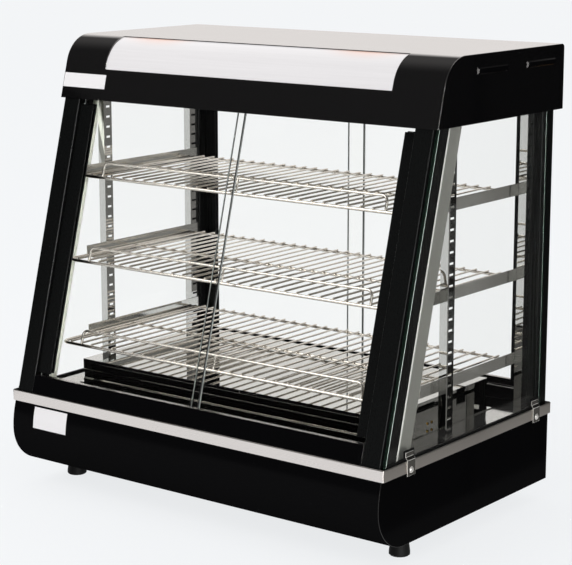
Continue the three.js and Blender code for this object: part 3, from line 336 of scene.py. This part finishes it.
# Glazed porcelain, frosted glass and enamel: smooth, with a slow ripple.
porcelain = makeFinish("glazedPorcelain", grained(0xEDEAE0, 0.15, 12, 0.06))
opalBulb = makeFinish("frostedGlassBulb", grained(
    0xFFE7C4, 0.25, 6, 0.02, more=lit(0xFFC27A, 0.4)))
platePaint = makeFinish("whiteEnamelPlate", grained(0xDCDADB, 0.3, 5, 0.06))
# Zinc plate is spangled, the element's sheath is browned by its heat, and brass is turned bright.
zincPlate = makeFinish("zincPlatedSteel", grained(0x8F8C86, 0.38, 2.5, 0.12, 1.0))
sheathSteel = makeFinish("heatDarkenedElementSheath", grained(0x5B5048, 0.42, 3, 0.15, 1.0))
brass = makeFinish("brassScrew", grained(0xB08D4A, 0.3, 2, 0.1, 1.0))
# Door panes have their free edge ground flat, so it is grey between two black arrises.
doorEdge = makeFinish("flatGroundPaneEdge", grained(0xA4A8A6, 0.4, 1, 0.2))
doorArris = makeFinish("polishedPaneArris", grained(
    0x0B0D0C, 0.5, 1, 0.1, more={"Specular IOR Level": 0.1}))
print("materials ready")

meshLook = {"weldMm": 0.001, "flatDegrees": 0.4, "creaseDegrees": 35}


def camel(name):
    first, *rest = name.split("_")
    return first + "".join(word.capitalize() for word in rest)


def finishPiece(name, shape, finishes, body, replaced=(),
                crease=meshLook["creaseDegrees"]):
    # a bmesh made into a piece that stands where it was modelled and rides on its body
    mesh = bpy.data.meshes.new(name)
    shape.to_mesh(mesh)
    shape.free()
    for finish in finishes:
        mesh.materials.append(finish)
    mesh.shade_smooth()
    mesh.set_sharp_from_angle(angle=math.radians(crease))
    piece = bpy.data.objects.new(name, mesh)
    scene.collection.objects.link(piece)
    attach(piece, body)
    if replaced:
        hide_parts(*replaced)
    return piece


def cleanCopy(node):
    # the solid's own shape with its loose triangles merged
    shape = bmesh.new()
    shape.from_mesh(nodes[node].data)
    bmesh.ops.remove_doubles(shape, verts=shape.verts, dist=meshLook["weldMm"] * mm)
    bmesh.ops.dissolve_limit(shape, angle_limit=math.radians(meshLook["flatDegrees"]),
                             verts=shape.verts, edges=shape.edges)
    return shape


def sharpEdges(shape, degrees):
    return [edge for edge in shape.edges
            if edge.is_manifold and edge.calc_face_angle() > math.radians(degrees)]


def edgesAlong(shape, axis):
    return [edge for edge in shape.edges
            if abs((edge.verts[0].co - edge.verts[1].co).normalized()[axis]) > 0.9]


def bevelEdges(shape, edges, wideMm, segments):
    # returns the new faces
    return bmesh.ops.bevel(shape, geom=edges, offset=wideMm * mm, offset_type="OFFSET",
                           segments=segments, profile=0.5, affect="EDGES", clamp_overlap=True,
                           material=-1)["faces"]


def only(kind, items):
    return [item for item in items if isinstance(item, kind)]


# Which finish a broken edge takes, by the finish of the sheet.
edgeFinish = {powderCoat: powderCoatEdge, canopyCoat: powderCoatEdge,
              brushedTall: sheetEdge, clipSteel: sheetEdge}

# Pieces with more than one finish: the further ones, and which a face takes. Numbers are places in
# the list of finishes, where 0 is the piece's own and 1 its broken edges, if they have one.
markLook = {"deckUp": 0.9, "deckSideways": 0.7, "screwProudMm": 2.1, "louvreProudMm": 2.3,
            "louvreFront": -0.75}
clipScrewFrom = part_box("glass_clip_front_right")[1].x - markLook["screwProudMm"] * mm
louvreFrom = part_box("canopy_shell")[1].x - markLook["louvreProudMm"] * mm


def markDeck(face):
    # the deck's top is rubbed finer, and its ends are brushed front to back
    if face.normal.z > markLook["deckUp"]:
        return 1
    return 2 if abs(face.normal.x) > markLook["deckSideways"] else 0


def markClip(face):
    # what stands proud of the strip is the screw's head
    return 2 if abs(face.calc_center_median().x) > clipScrewFrom else face.material_index


def markCanopy(face):
    # all of a louvre but its front end takes the lowered mirror share, a painted shade that dims
    # its highlights
    proud = abs(face.calc_center_median().x) > louvreFrom
    return 2 if proud and face.normal.y > markLook["louvreFront"] else face.material_index


marked = {"deck_tray": ([polishedTop, skirtSide], markDeck),
          "canopy_shell": ([louvreCoat, foldCoat], markCanopy)}
for end in ends:
    for side in sides:
        marked[f"glass_clip_{end}_{side}"] = ([screwNickel], markClip)

# The canopy's folds have a wider bend than its cut edges, which lie too close together for it.
foldLook = {"canopy_shell": {"wide": 0.9, "across": 50, "sideways": 0.9, "finish": 3}}


def bendFolds(shape, look):
    # where a side meets sheet that runs across the cabinet
    shape.normal_update()
    folds = []
    for edge in sharpEdges(shape, meshLook["creaseDegrees"]):
        spans = [max(vert.co.x for vert in face.verts) - min(vert.co.x for vert in face.verts)
                 for face in edge.link_faces]
        sideways = max(abs(face.normal.x) for face in edge.link_faces)
        if edge.is_convex and max(spans) > look["across"] * mm and sideways > look["sideways"]:
            folds.append(edge)
    for face in bevelEdges(shape, folds, look["wide"], 3):
        face.material_index = look["finish"]


def softenedCopy(node, finish, edgeMm):
    # a copy of the solid with its folds and cut edges broken
    shape = cleanCopy(node)
    if node in foldLook:
        bendFolds(shape, foldLook[node])
    broken = bevelEdges(shape, sharpEdges(shape, meshLook["creaseDegrees"]), edgeMm, 2)
    finishes = [finish]
    if finish in edgeFinish:
        finishes.append(edgeFinish[finish])
        for face in broken:
            face.material_index = 1
    if node in marked:
        more, mark = marked[node]
        finishes += more
        for face in shape.faces:
            face.material_index = mark(face)
    piece = finishPiece(camel(node), shape, finishes, nodes[node]["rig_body"], [node])
    # broad faces keep their own normal and the broken edges bend between them
    shading = piece.modifiers.new("evenShading", "WEIGHTED_NORMAL")
    shading.keep_sharp = True


# Sheet, extruded and moulded pieces that keep the solid's form: which finish each has, and how far
# its edges are broken, in millimetres.
dressed = {
    "base_shell": (powderCoat, 0.5), "canopy_shell": (canopyCoat, 0.5),
    "rear_panel": (powderCoat, 0.4), "front_track_bottom": (powderCoat, 0.3),
    "front_track_top": (powderCoat, 0.3), "rear_track_bottom": (powderCoat, 0.3),
    "rear_track_top": (powderCoat, 0.3), "deck_tray": (brushedAlong, 0.25),
    "element_bracket": (zincPlate, 0.25), "ceiling_panel": (ceilingSteel, 0.25),
    "heater_cover": (mirrorSteel, 0.3), "heating_element": (sheathSteel, 0.1),
    "window_diffuser": (opalAcrylic, 0.3), "thermostat_body": (zincPlate, 0.6),
    "thermostat_knob": (nylon, 0.6), "pilot_lamp": (amberLens, 0.2),
    "light_switch_housing": (nylon, 0.4), "light_switch_rocker": (redLens, 0.4),
    "cable_gland": (nylon, 0.4),
}
for side in sides:
    dressed.update({
        f"front_post_{side}": (extrusion, 0.7), f"rear_post_{side}": (extrusion, 0.7),
        f"side_plate_{side}": (brushedTall, 0.25), f"pilaster_front_{side}": (mirrorSteel, 0.15),
        f"pilaster_rear_{side}": (mirrorSteel, 0.15), f"glass_clip_front_{side}": (clipSteel, 0.3),
        f"glass_clip_rear_{side}": (clipSteel, 0.3), f"front_door_pull_{side}": (extrusion, 0.5),
        f"rear_door_pull_{side}": (extrusion, 0.5), f"foot_front_{side}": (rubber, 0.3),
        f"foot_rear_{side}": (rubber, 0.3), f"lamp_bulb_{side}": (opalBulb, 0.1),
        f"lamp_holder_{side}": (porcelain, 0.4),
    })
    for level in levels:
        dressed[f"shelf_rail_{level}_{side}"] = (railSteel, 0.2)
for node, (finish, edgeMm) in dressed.items():
    softenedCopy(node, finish, edgeMm)
print("sheet and moulded pieces dressed")

# Panes: sawn to size, with the arrises taken off and the edges finished.
paneLook = {"arrisMm": 0.5, "doorArrisMm": {"left": 1.2, "right": 0.6}, "faceOn": 0.97,
            "creaseDegrees": 20}


def makePane(node, thinAxis, arrisMm, edge, arris):
    shape = cleanCopy(node)
    ground = bevelEdges(shape, shape.edges[:], arrisMm, 1)
    for face in shape.faces:
        face.material_index = 0 if abs(face.normal.dot(thinAxis)) > paneLook["faceOn"] else 1
    for face in ground:
        face.material_index = 2
    finishPiece(camel(node), shape, [floatGlass, edge, arris], nodes[node]["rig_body"], [node],
                paneLook["creaseDegrees"])


for side in sides:
    doorArrisMm = paneLook["doorArrisMm"][side]
    makePane(f"side_glass_{side}", Vector((1, 0, 0)), paneLook["arrisMm"], glassEdge, groundEdge)
    makePane(f"front_door_glass_{side}", Vector((0, -math.cos(lean), math.sin(lean))),
             doorArrisMm, doorEdge, doorArris)
    makePane(f"rear_door_glass_{side}", Vector((0, 1, 0)), doorArrisMm, doorEdge, doorArris)
print("panes made")

# Wire shelves: a bent frame rod, two cross rods, wires welded on top and a raised guard that leans
# with the doors. Rods are given by their radius, and the frame rod's flats match the solid's.
shelfLook = {
    "rod": 2.5, "wire": 1.5, "support": 2.0, "guard": 1.94, "corner": 14.0, "guardBend": 8.0,
    "guardRise": 21.0, "weldSink": 0.8, "pitch": 19.5, "wireOver": 0.6, "guardWires": 2,
    "rodSides": 14, "wireSides": 10, "flat": math.cos(math.pi / 8), "creaseDegrees": 50,
}
bendLook = {"degreesPerStep": 12, "fewestSteps": 3, "endRound": 0.4}


def bentRod(shape, corners, radius, bendMm, count):
    # a ring carried along a path by straight pulls and by turns about each bend's centre
    points = [Vector(corner) * mm for corner in corners]
    bend = bendMm * mm
    first = (points[1] - points[0]).normalized()
    turn = first.to_track_quat("Z", "Y").to_matrix().to_4x4()
    ring = bmesh.ops.create_circle(shape, cap_ends=False, segments=count, radius=radius * mm,
                                   matrix=Matrix.Translation(points[0]) @ turn)
    edges = list({edge for vert in ring["verts"] for edge in vert.link_edges})
    rims = [edges]
    here = points[0]
    for index in range(1, len(points)):
        along = (points[index] - points[index - 1]).normalized()
        after = None
        inset = 0.0
        if index + 1 < len(points):
            after = (points[index + 1] - points[index]).normalized()
            inset = bend * math.tan(along.angle(after) / 2)
        stop = points[index] - along * inset
        pulled = bmesh.ops.extrude_edge_only(shape, edges=edges)["geom"]
        moved = only(bmesh.types.BMVert, pulled)
        edges = only(bmesh.types.BMEdge, pulled)
        bmesh.ops.translate(shape, verts=moved, vec=stop - here)
        here = stop
        if after is not None:
            axis = along.cross(after).normalized()
            centre = stop + axis.cross(along) * bend
            angle = along.angle(after)
            steps = max(bendLook["fewestSteps"],
                        int(math.degrees(angle) / bendLook["degreesPerStep"]))
            bent = bmesh.ops.spin(shape, geom=moved + edges, cent=centre, axis=axis, angle=angle,
                                  steps=steps, use_duplicate=False)["geom_last"]
            edges = only(bmesh.types.BMEdge, bent)
            here = points[index] + after * inset
    rims.append(edges)
    for rim in rims:
        cap = bmesh.ops.contextual_create(shape, geom=rim)["faces"]
        around = list({edge for face in cap for edge in face.edges})
        bevelEdges(shape, around, radius * bendLook["endRound"], 2)


def makeShelf(level):
    look = shelfLook
    node = f"wire_shelf_{level}"
    low, high = (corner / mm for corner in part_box(node))
    rod = look["rod"] * look["flat"]
    z, half, front, rear = low.z + rod, high.x - rod, low.y + rod, high.y
    shape = bmesh.new()
    bentRod(shape, [(-half, rear, z), (-half, front, z), (half, front, z), (half, rear, z)],
            rod, look["corner"], look["rodSides"])
    for y in (rear - look["rod"], (front + rear) / 2):
        bentRod(shape, [(-half, y, z), (half, y, z)], look["support"], 0, look["wireSides"])
    wireZ = z + look["rod"] + look["wire"] - look["weldSink"]
    count = int(2 * half / look["pitch"])
    spacing = 2 * half / count
    for i in range(1, count):
        x = i * spacing - half
        bentRod(shape, [(x, front - look["wireOver"], wireZ), (x, rear - look["wireOver"], wireZ)],
                look["wire"], 0, look["wireSides"])
    end = half - look["guardWires"] * spacing
    lift = front + math.tan(lean) * look["guardRise"]
    top = z + look["guardRise"]
    bentRod(shape, [(-end, front, z), (-end, lift, top), (end, lift, top), (end, front, z)],
            look["guard"], look["guardBend"], look["wireSides"])
    bentRod(shape, [(0, front, z), (0, lift, top)], look["wire"], 0, look["wireSides"])
    bmesh.ops.recalc_face_normals(shape, faces=shape.faces)
    finishPiece(camel(node), shape, [platedWire], nodes[node]["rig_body"], [node],
                look["creaseDegrees"])


for level in levels:
    makeShelf(level)
print("wire shelves made")

# A bare enamelled plate on the canopy's front, and a thin bare label on the base
plateLook = {
    "canopyPlate": {"on": "canopy_shell", "x": (-327.5, -246), "z": (578, 598), "thick": 0.5},
    "basePlate": {"on": "base_shell", "x": (-285, -220), "z": (94, 124.5), "thick": 0.12},
}
plateFit = {"rows": 7, "measuredIn": 5, "gap": 0.03, "rim": 0.3, "rimDegrees": 50}
farOff = 1000  # a look at a face starts this far out


def faceAt(node, start, towards):
    # where a straight look from this point meets the solid
    shape = bmesh.new()
    shape.from_mesh(nodes[node].data)
    met = BVHTree.FromBMesh(shape).ray_cast(Vector(start) * mm, Vector(towards))[0]
    shape.free()
    return met


def makePlate(name, look):
    # a line that follows the face's bend, pulled sideways and given its thickness
    (x0, x1), (z0, z1) = look["x"], look["z"]
    shape = bmesh.new()
    line = []
    for i in range(plateFit["rows"]):
        z = z0 + (z1 - z0) * i / (plateFit["rows"] - 1)
        face = faceAt(look["on"], (x0 + plateFit["measuredIn"], -farOff, z), (0, 1, 0))
        line.append(shape.verts.new((x0 * mm, face.y - plateFit["gap"] * mm, z * mm)))
    edges = [shape.edges.new(pair) for pair in zip(line, line[1:])]
    pulled = bmesh.ops.extrude_edge_only(shape, edges=edges)["geom"]
    bmesh.ops.translate(shape, verts=only(bmesh.types.BMVert, pulled),
                        vec=Vector((x1 - x0, 0, 0)) * mm)
    bmesh.ops.recalc_face_normals(shape, faces=shape.faces)
    if sum(face.normal.y for face in shape.faces) > 0:
        bmesh.ops.reverse_faces(shape, faces=shape.faces)
    bmesh.ops.solidify(shape, geom=shape.faces[:], thickness=-look["thick"] * mm)
    bmesh.ops.recalc_face_normals(shape, faces=shape.faces)
    bevelEdges(shape, sharpEdges(shape, plateFit["rimDegrees"]),
               look["thick"] * plateFit["rim"], 1)
    finishPiece(name, shape, [platePaint], "cabinet")


for name, look in plateLook.items():
    makePlate(name, look)
print("bare plates made")


def extruded(shape, outline, along, reach):
    # a closed outline filled and pulled straight along one direction
    corners = [shape.verts.new(Vector(point) * mm) for point in outline]
    face = bmesh.ops.contextual_create(shape, geom=corners)["faces"]
    pulled = bmesh.ops.extrude_face_region(shape, geom=face)["geom"]
    bmesh.ops.translate(shape, verts=only(bmesh.types.BMVert, pulled),
                        vec=Vector(along) * reach * mm)
    bmesh.ops.recalc_face_normals(shape, faces=shape.faces)


def roundedBlock(shape, centre, size, axis, cornerMm):
    # a block whose four edges along one axis are rounded
    place = Matrix.Translation(Vector(centre) * mm)
    bmesh.ops.create_cube(shape, size=1, matrix=place @ Matrix.Diagonal((*(Vector(size) * mm), 1)))
    bevelEdges(shape, edgesAlong(shape, axis), cornerMm, 4)


# Glazing gasket: a thin black channel under each side pane
gasketLook = {"wall": 0.24, "height": 2.4, "below": 0.27, "clear": 0.02, "endInset": 0.5}


def makeGasket(side):
    look = gasketLook
    low, high = (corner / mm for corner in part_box(f"side_glass_{side}"))
    inner, outer = low.x - look["clear"], high.x + look["clear"]
    bottom, floor, top = low.z - look["below"], low.z - look["clear"], low.z + look["height"]
    wall, start = look["wall"], low.y + look["endInset"]
    shape = bmesh.new()
    extruded(shape, [(x, start, z) for x, z in (
        (inner - wall, bottom), (outer + wall, bottom), (outer + wall, top), (outer, top),
        (outer, floor), (inner, floor), (inner, top), (inner - wall, top))],
        (0, 1, 0), high.y - low.y - 2 * look["endInset"])
    finishPiece(camel(f"side_glass_gasket_{side}"), shape, [rubber], "cabinet")


# Rubber pads under the spring clips
padLook = {"thick": 0.22, "over": 3.2, "drop": 7, "corner": 1.6, "clear": 0.04}


def makePad(end, side):
    look, sign = padLook, sides[side]
    low, high = (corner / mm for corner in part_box(f"glass_clip_{end}_{side}"))
    x = (low.x if sign > 0 else high.x) - sign * (look["clear"] + look["thick"] / 2)
    y0, y1 = low.y - look["over"], high.y + look["over"]
    z0, z1 = high.z - look["drop"], high.z + look["over"]
    shape = bmesh.new()
    roundedBlock(shape, (x, (y0 + y1) / 2, (z0 + z1) / 2), (look["thick"], y1 - y0, z1 - z0),
                 0, look["corner"])
    finishPiece(camel(f"clip_pad_{end}_{side}"), shape, [rubber], "cabinet")


for side in sides:
    makeGasket(side)
    for end in ends:
        makePad(end, side)

# The side plates' front edge is folded over into a hem, whose bright line is a painted highlight
hemLook = {"rise": 0.6, "from": 0.7, "wide": 3.4, "slope": 0.7, "clear": 0.02, "endInset": 1,
           "creaseDegrees": 60}


def makeHem(side):
    look, sign = hemLook, sides[side]
    low, high = (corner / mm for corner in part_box(f"side_plate_{side}"))
    x = (high.x if sign > 0 else low.x) + sign * look["clear"]
    proud = x + sign * look["rise"]
    y0, y1, z = low.y + look["from"], low.y + look["from"] + look["wide"], low.z + look["endInset"]
    shape = bmesh.new()
    extruded(shape, [(x, y0, z), (proud, y0 + look["slope"], z), (proud, y1 - look["slope"], z),
                     (x, y1, z)], (0, math.tan(lean), 1), high.z - low.z - 2 * look["endInset"])
    finishPiece(camel(f"side_plate_hem_{side}"), shape, [hemSteel], "cabinet",
                crease=look["creaseDegrees"])


for side in sides:
    makeHem(side)

# Pointer line filled with white paint on the thermostat knob's grip
pointerLook = {"x": -234.5, "z": (95.5, 105.0), "wide": 1.6, "thick": 0.3, "round": 0.9}


def makePointer(look):
    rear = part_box("thermostat_knob")[1].y / mm
    z0, z1 = look["z"]
    shape = bmesh.new()
    roundedBlock(shape, (look["x"], rear, (z0 + z1) / 2), (look["wide"], look["thick"], z1 - z0),
                 1, look["wide"] / 2 * look["round"])
    finishPiece("knobPointer", shape, [platePaint], nodes["thermostat_knob"]["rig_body"])


makePointer(pointerLook)

# Pan-head screws with a cross recess: six hold the rear panel, two the heater cover's end. The
# outline is in shares of the head's radius and rise.
screwLook = {
    "outline": ((0, 0), (1, 0), (1, 0.35), (0.86, 0.78), (0.5, 0.97), (0, 1)), "steps": 20,
    "slotWide": 0.9, "slotLong": 4.2 / 3.4, "slotThick": 0.2, "slotProud": 0.05, "slotTurn": 0.5,
    "creaseDegrees": 50,
}
panelScrewLook = {"x": (-312, 0, 312), "inset": 9, "faceInset": 8, "gap": 0.02,
                  "radius": 3.4, "rise": 2.0}
coverScrewLook = {"x": 264.05, "y": (-16.5, -6), "z": 150.5, "radius": 2, "rise": 1.2}


def panHead(shape, at, out, radius, rise):
    # half a head's outline spun round its own axis, with a dark cross let into its top
    look = screwLook
    at, out = Vector(at) * mm, Vector(out)
    aside = Vector((0, 0, 1)) if abs(out.z) < 0.5 else Vector((1, 0, 0))
    points = [shape.verts.new(at + aside * r * radius * mm + out * h * rise * mm)
              for r, h in look["outline"]]
    edges = [shape.edges.new(pair) for pair in zip(points, points[1:])]
    bmesh.ops.spin(shape, geom=points + edges, cent=at, axis=out, angle=math.tau,
                   steps=look["steps"], use_merge=True)
    faces = set(shape.faces)
    top = Matrix.Translation(at + out * (rise + look["slotProud"]) * mm)
    facing = out.to_track_quat("Z", "Y").to_matrix().to_4x4()
    size = (look["slotWide"] * mm, look["slotLong"] * radius * mm, look["slotThick"] * mm, 1)
    for turned in (0, math.pi / 2):
        cross = Matrix.Rotation(turned + look["slotTurn"], 4, "Z") @ Matrix.Diagonal(size)
        bmesh.ops.create_cube(shape, size=1, matrix=top @ facing @ cross)
    for face in set(shape.faces) - faces:
        face.material_index = 1


def makeScrews(name, places, out, finish, look):
    shape = bmesh.new()
    for at in places:
        panHead(shape, at, out, look["radius"], look["rise"])
    bmesh.ops.remove_doubles(shape, verts=shape.verts, dist=meshLook["weldMm"] * mm)
    bmesh.ops.recalc_face_normals(shape, faces=shape.faces)
    finishPiece(name, shape, [finish, rubber], "cabinet", crease=screwLook["creaseDegrees"])


panelLow, panelHigh = (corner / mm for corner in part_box("rear_panel"))
panelStart = (0, farOff, panelLow.z + panelScrewLook["faceInset"])
panelFace = faceAt("rear_panel", panelStart, (0, -1, 0)).y / mm + panelScrewLook["gap"]
panelRows = (panelLow.z + panelScrewLook["inset"], panelHigh.z - panelScrewLook["inset"])
makeScrews("rearPanelScrews", [(x, panelFace, z) for x in panelScrewLook["x"] for z in panelRows],
           (0, 1, 0), zincPlate, panelScrewLook)
makeScrews("heaterCoverScrews",
           [(coverScrewLook["x"], y, coverScrewLook["z"]) for y in coverScrewLook["y"]],
           (1, 0, 0), brass, coverScrewLook)
print("gaskets, pads and screws made")

# Studio: a pale floor that runs out of sight, a pale room that mirrors see darker at the front, two
# lamps, and three flags that only reflections see
studioLook = {
    "backdrop": 0xF5F7F9, "floor": 0xEDEEEF, "floorRoughness": 0.9, "floorSize": 120.0,
    "floorPale": 0.86, "room": 0.95, "mirrored": 0xFFFDFC, "frontDark": 0.14, "backPale": 0.93,
    "turn": 0.35,
}


def stageCard(name, shape, material):
    # a flat piece of the studio, which isn't part of the cabinet
    mesh = bpy.data.meshes.new(name)
    shape.to_mesh(mesh)
    shape.free()
    mesh.materials.append(material)
    card = bpy.data.objects.new(name, mesh)
    scene.collection.objects.link(card)
    return card


def makeFloor(look):
    material, tree, shader, output = startMaterial("paleStudioFloor", {
        "Base Color": hexColour(look["floor"]), "Roughness": look["floorRoughness"],
        "Specular IOR Level": 0.0})
    path = addNode(tree, "ShaderNodeLightPath")
    straight = addNode(tree, "ShaderNodeMath", {"operation": "MAXIMUM"},
                       {0: path.outputs["Is Camera Ray"], 1: path.outputs["Is Glossy Ray"]})
    seen = addNode(tree, "ShaderNodeMath", {"operation": "MAXIMUM"},
                   {0: straight.outputs[0], 1: path.outputs["Is Transmission Ray"]})
    share = addNode(tree, "ShaderNodeMath", {"operation": "MULTIPLY", 1: look["floorPale"]},
                    {0: seen.outputs[0]})
    pale = addNode(tree, "ShaderNodeEmission", {
        "Color": hexColour(look["backdrop"]), "Strength": 1.0})
    both = addNode(tree, "ShaderNodeMixShader", links={
        0: share.outputs[0], 1: shader.outputs[0], 2: pale.outputs[0]})
    tree.links.new(both.outputs[0], output.inputs["Surface"])
    shape = bmesh.new()
    bmesh.ops.create_grid(shape, x_segments=1, y_segments=1, size=look["floorSize"])
    stageCard("studioFloor", shape, material)


makeFloor(studioLook)


def makeRoom(look):
    world = bpy.data.worlds.new("studioRoom")
    scene.world = world
    world.use_nodes = True
    tree = world.node_tree
    tree.nodes.clear()
    path = addNode(tree, "ShaderNodeLightPath")
    place = addNode(tree, "ShaderNodeTexCoord")
    parts = addNode(tree, "ShaderNodeSeparateXYZ", links={0: place.outputs["Generated"]})
    towardsBack = addNode(tree, "ShaderNodeMapRange", {
        "interpolation_type": "SMOOTHSTEP", "From Min": -look["turn"], "From Max": look["turn"],
        "To Min": look["frontDark"], "To Max": look["backPale"]}, {"Value": parts.outputs["Y"]})
    backdrop = addNode(tree, "ShaderNodeBackground", {
        "Color": hexColour(look["backdrop"]), "Strength": 1.0})
    mirrored = addNode(tree, "ShaderNodeBackground", {"Color": hexColour(look["mirrored"])},
                       {"Strength": towardsBack.outputs[0]})
    light = addNode(tree, "ShaderNodeBackground", {
        "Color": hexColour(0xFFFFFF), "Strength": look["room"]})
    # a ray that met a shiny surface still counts as a reflection once it has left through the glass
    bounced = addNode(tree, "ShaderNodeMath", {"operation": "GREATER_THAN", 1: 0.5},
                      {0: path.outputs["Glossy Depth"]})
    seen = addNode(tree, "ShaderNodeMath", {"operation": "MAXIMUM"},
                   {0: path.outputs["Is Camera Ray"], 1: path.outputs["Is Transmission Ray"]})
    direct = addNode(tree, "ShaderNodeMixShader", links={
        0: seen.outputs[0], 1: light.outputs[0], 2: backdrop.outputs[0]})
    either = addNode(tree, "ShaderNodeMixShader", links={
        0: bounced.outputs[0], 1: direct.outputs[0], 2: mirrored.outputs[0]})
    addNode(tree, "ShaderNodeOutputWorld", links={"Surface": either.outputs[0]})


makeRoom(studioLook)

# Flags that only reflections see. The right one is grey, with dark gaps where the slotted uprights
# mirror it, and glass itself mirrors only its darker upper part. The left and rear ones darken
# nothing but what glass mirrors, and end below the canopy's top, which mirrors the room over them.
flagLook = {
    "colour": 0xFFFDFA, "grey": 0.2, "gap": 0.008, "gaps": (0.142, 0.3545), "gapHalf": 0.0095,
    "onGlass": 0.12, "glassFrom": 0.115,
    "right": {"at": 0.42, "along": (-0.3, 4.0), "up": (0.0, 0.75)},
    "left": {"at": -0.42, "along": (-0.3, 4.0), "up": (0.115, 0.62)},
    "rear": {"at": 0.31, "along": (-1.5, 1.5), "up": (0.115, 0.62)},
}


def makeFlagPaint(look, where):
    material, tree = emptyMaterial(f"{where}StudioFlag")
    place = addNode(tree, "ShaderNodeTexCoord")
    parts = addNode(tree, "ShaderNodeSeparateXYZ", links={0: place.outputs["Object"]})
    gaps = [addNode(tree, "ShaderNodeMath", {"operation": "COMPARE", 1: gap, 2: look["gapHalf"]},
                    {0: parts.outputs["Y"]}) for gap in look["gaps"]]
    either = addNode(tree, "ShaderNodeMath", {"operation": "MAXIMUM"},
                     {0: gaps[0].outputs[0], 1: gaps[1].outputs[0]})
    level = addNode(tree, "ShaderNodeMapRange", {"To Min": look["grey"], "To Max": look["gap"]},
                    {"Value": either.outputs[0]})
    path = addNode(tree, "ShaderNodeLightPath")
    low = addNode(tree, "ShaderNodeMath", {"operation": "LESS_THAN", 1: look["glassFrom"]},
                  {0: parts.outputs["Z"]})
    # in through a pane and out again is four faces, so what comes by fewer was mirrored by glass
    within = addNode(tree, "ShaderNodeMath", {"operation": "GREATER_THAN", 1: 2.5},
                     {0: path.outputs["Transmission Depth"]})
    full = addNode(tree, "ShaderNodeMath", {"operation": "MAXIMUM"},
                   {0: low.outputs[0], 1: within.outputs[0]})
    share = addNode(tree, "ShaderNodeMapRange", {"To Min": look["onGlass"], "To Max": 1.0},
                    {"Value": full.outputs[0]})
    strength = addNode(tree, "ShaderNodeMath", {"operation": "MULTIPLY"},
                       {0: level.outputs[0], 1: share.outputs[0]})
    grey = addNode(tree, "ShaderNodeEmission", {"Color": hexColour(look["colour"])},
                   {"Strength": strength.outputs[0]})
    # it stands only before rays that a shiny surface has turned, and is clear to a straight look
    clear = addNode(tree, "ShaderNodeBsdfTransparent")
    seen = addNode(tree, "ShaderNodeMath", {"operation": "GREATER_THAN", 1: 0.5},
                   {0: path.outputs["Glossy Depth"]})
    if where != "right":
        seen = addNode(tree, "ShaderNodeMath", {"operation": "SUBTRACT", "use_clamp": True},
                       {0: seen.outputs[0], 1: within.outputs[0]})
    both = addNode(tree, "ShaderNodeMixShader", links={
        0: seen.outputs[0], 1: clear.outputs[0], 2: grey.outputs[0]})
    addNode(tree, "ShaderNodeOutputMaterial", links={"Surface": both.outputs[0]})
    return material


def makeFlag(look, where):
    material = makeFlagPaint(look, where)
    flag = look[where]
    (first, last), (bottom, top) = flag["along"], flag["up"]
    middle, long = (first + last) / 2, (last - first) / 2
    centreZ, tall = (bottom + top) / 2, (top - bottom) / 2
    if where == "rear":
        place = Matrix.Translation((middle, flag["at"], centreZ))
        turned, size = Matrix.Rotation(math.pi / 2, 4, "X"), (long, tall, 1, 1)
    else:
        place = Matrix.Translation((flag["at"], middle, centreZ))
        turned, size = Matrix.Rotation(math.pi / 2, 4, "Y"), (tall, long, 1, 1)
    shape = bmesh.new()
    bmesh.ops.create_grid(shape, x_segments=1, y_segments=1, size=1.0,
                          matrix=place @ turned @ Matrix.Diagonal(size))
    card = stageCard(f"{where}Flag", shape, material)
    for seenBy in ("visible_camera", "visible_diffuse", "visible_shadow",
                   "visible_volume_scatter"):
        setattr(card, seenBy, False)


for where in ("right", "left", "rear"):
    makeFlag(flagLook, where)

# A tall narrow panel at the right that only shiny edges show, and one soft key from the front left
lampLook = {
    "edgeStrip": {"shape": "RECTANGLE", "at": (2.3, -1.62, 0.5), "size": (0.5, 1.6), "power": 160,
                  "hidden": ("visible_camera", "visible_diffuse", "visible_transmission")},
    "softKey": {"shape": "DISK", "at": (-1.6, -2.2, 2.6), "size": (2.2, 2.2), "power": 45,
                "hidden": ("visible_glossy",)},
}
aimedAt = Vector((0, 0, 0.3))


def makeLamp(name, look):
    light = bpy.data.lights.new(name, "AREA")
    light.shape, light.energy = look["shape"], look["power"]
    light.size, light.size_y = look["size"]
    lamp = bpy.data.objects.new(name, light)
    lamp.location = look["at"]
    lamp.rotation_mode = "QUATERNION"
    lamp.rotation_quaternion = (aimedAt - Vector(look["at"])).to_track_quat("-Z", "Y")
    for seenBy in look["hidden"]:
        setattr(lamp, seenBy, False)
    scene.collection.objects.link(lamp)


for name, look in lampLook.items():
    makeLamp(name, look)

cameraLook = {"eye": (1.61249, -2.07643, 0.85033), "azimuth": 37.63, "elevation": 11.62,
              "lens": 118.2, "sensor": 36.0}


def makeCamera(look):
    data = bpy.data.cameras.new("photoCamera")
    data.lens, data.sensor_width = look["lens"], look["sensor"]
    camera = bpy.data.objects.new("photoCamera", data)
    azimuth, elevation = math.radians(look["azimuth"]), math.radians(look["elevation"])
    back = Vector((math.sin(azimuth) * math.cos(elevation),
                   -math.cos(azimuth) * math.cos(elevation), math.sin(elevation)))
    camera.location = look["eye"]
    camera.rotation_mode = "QUATERNION"
    camera.rotation_quaternion = (-back).to_track_quat("-Z", "Y")
    scene.collection.objects.link(camera)
    scene.camera = camera


makeCamera(cameraLook)
print("studio ready")
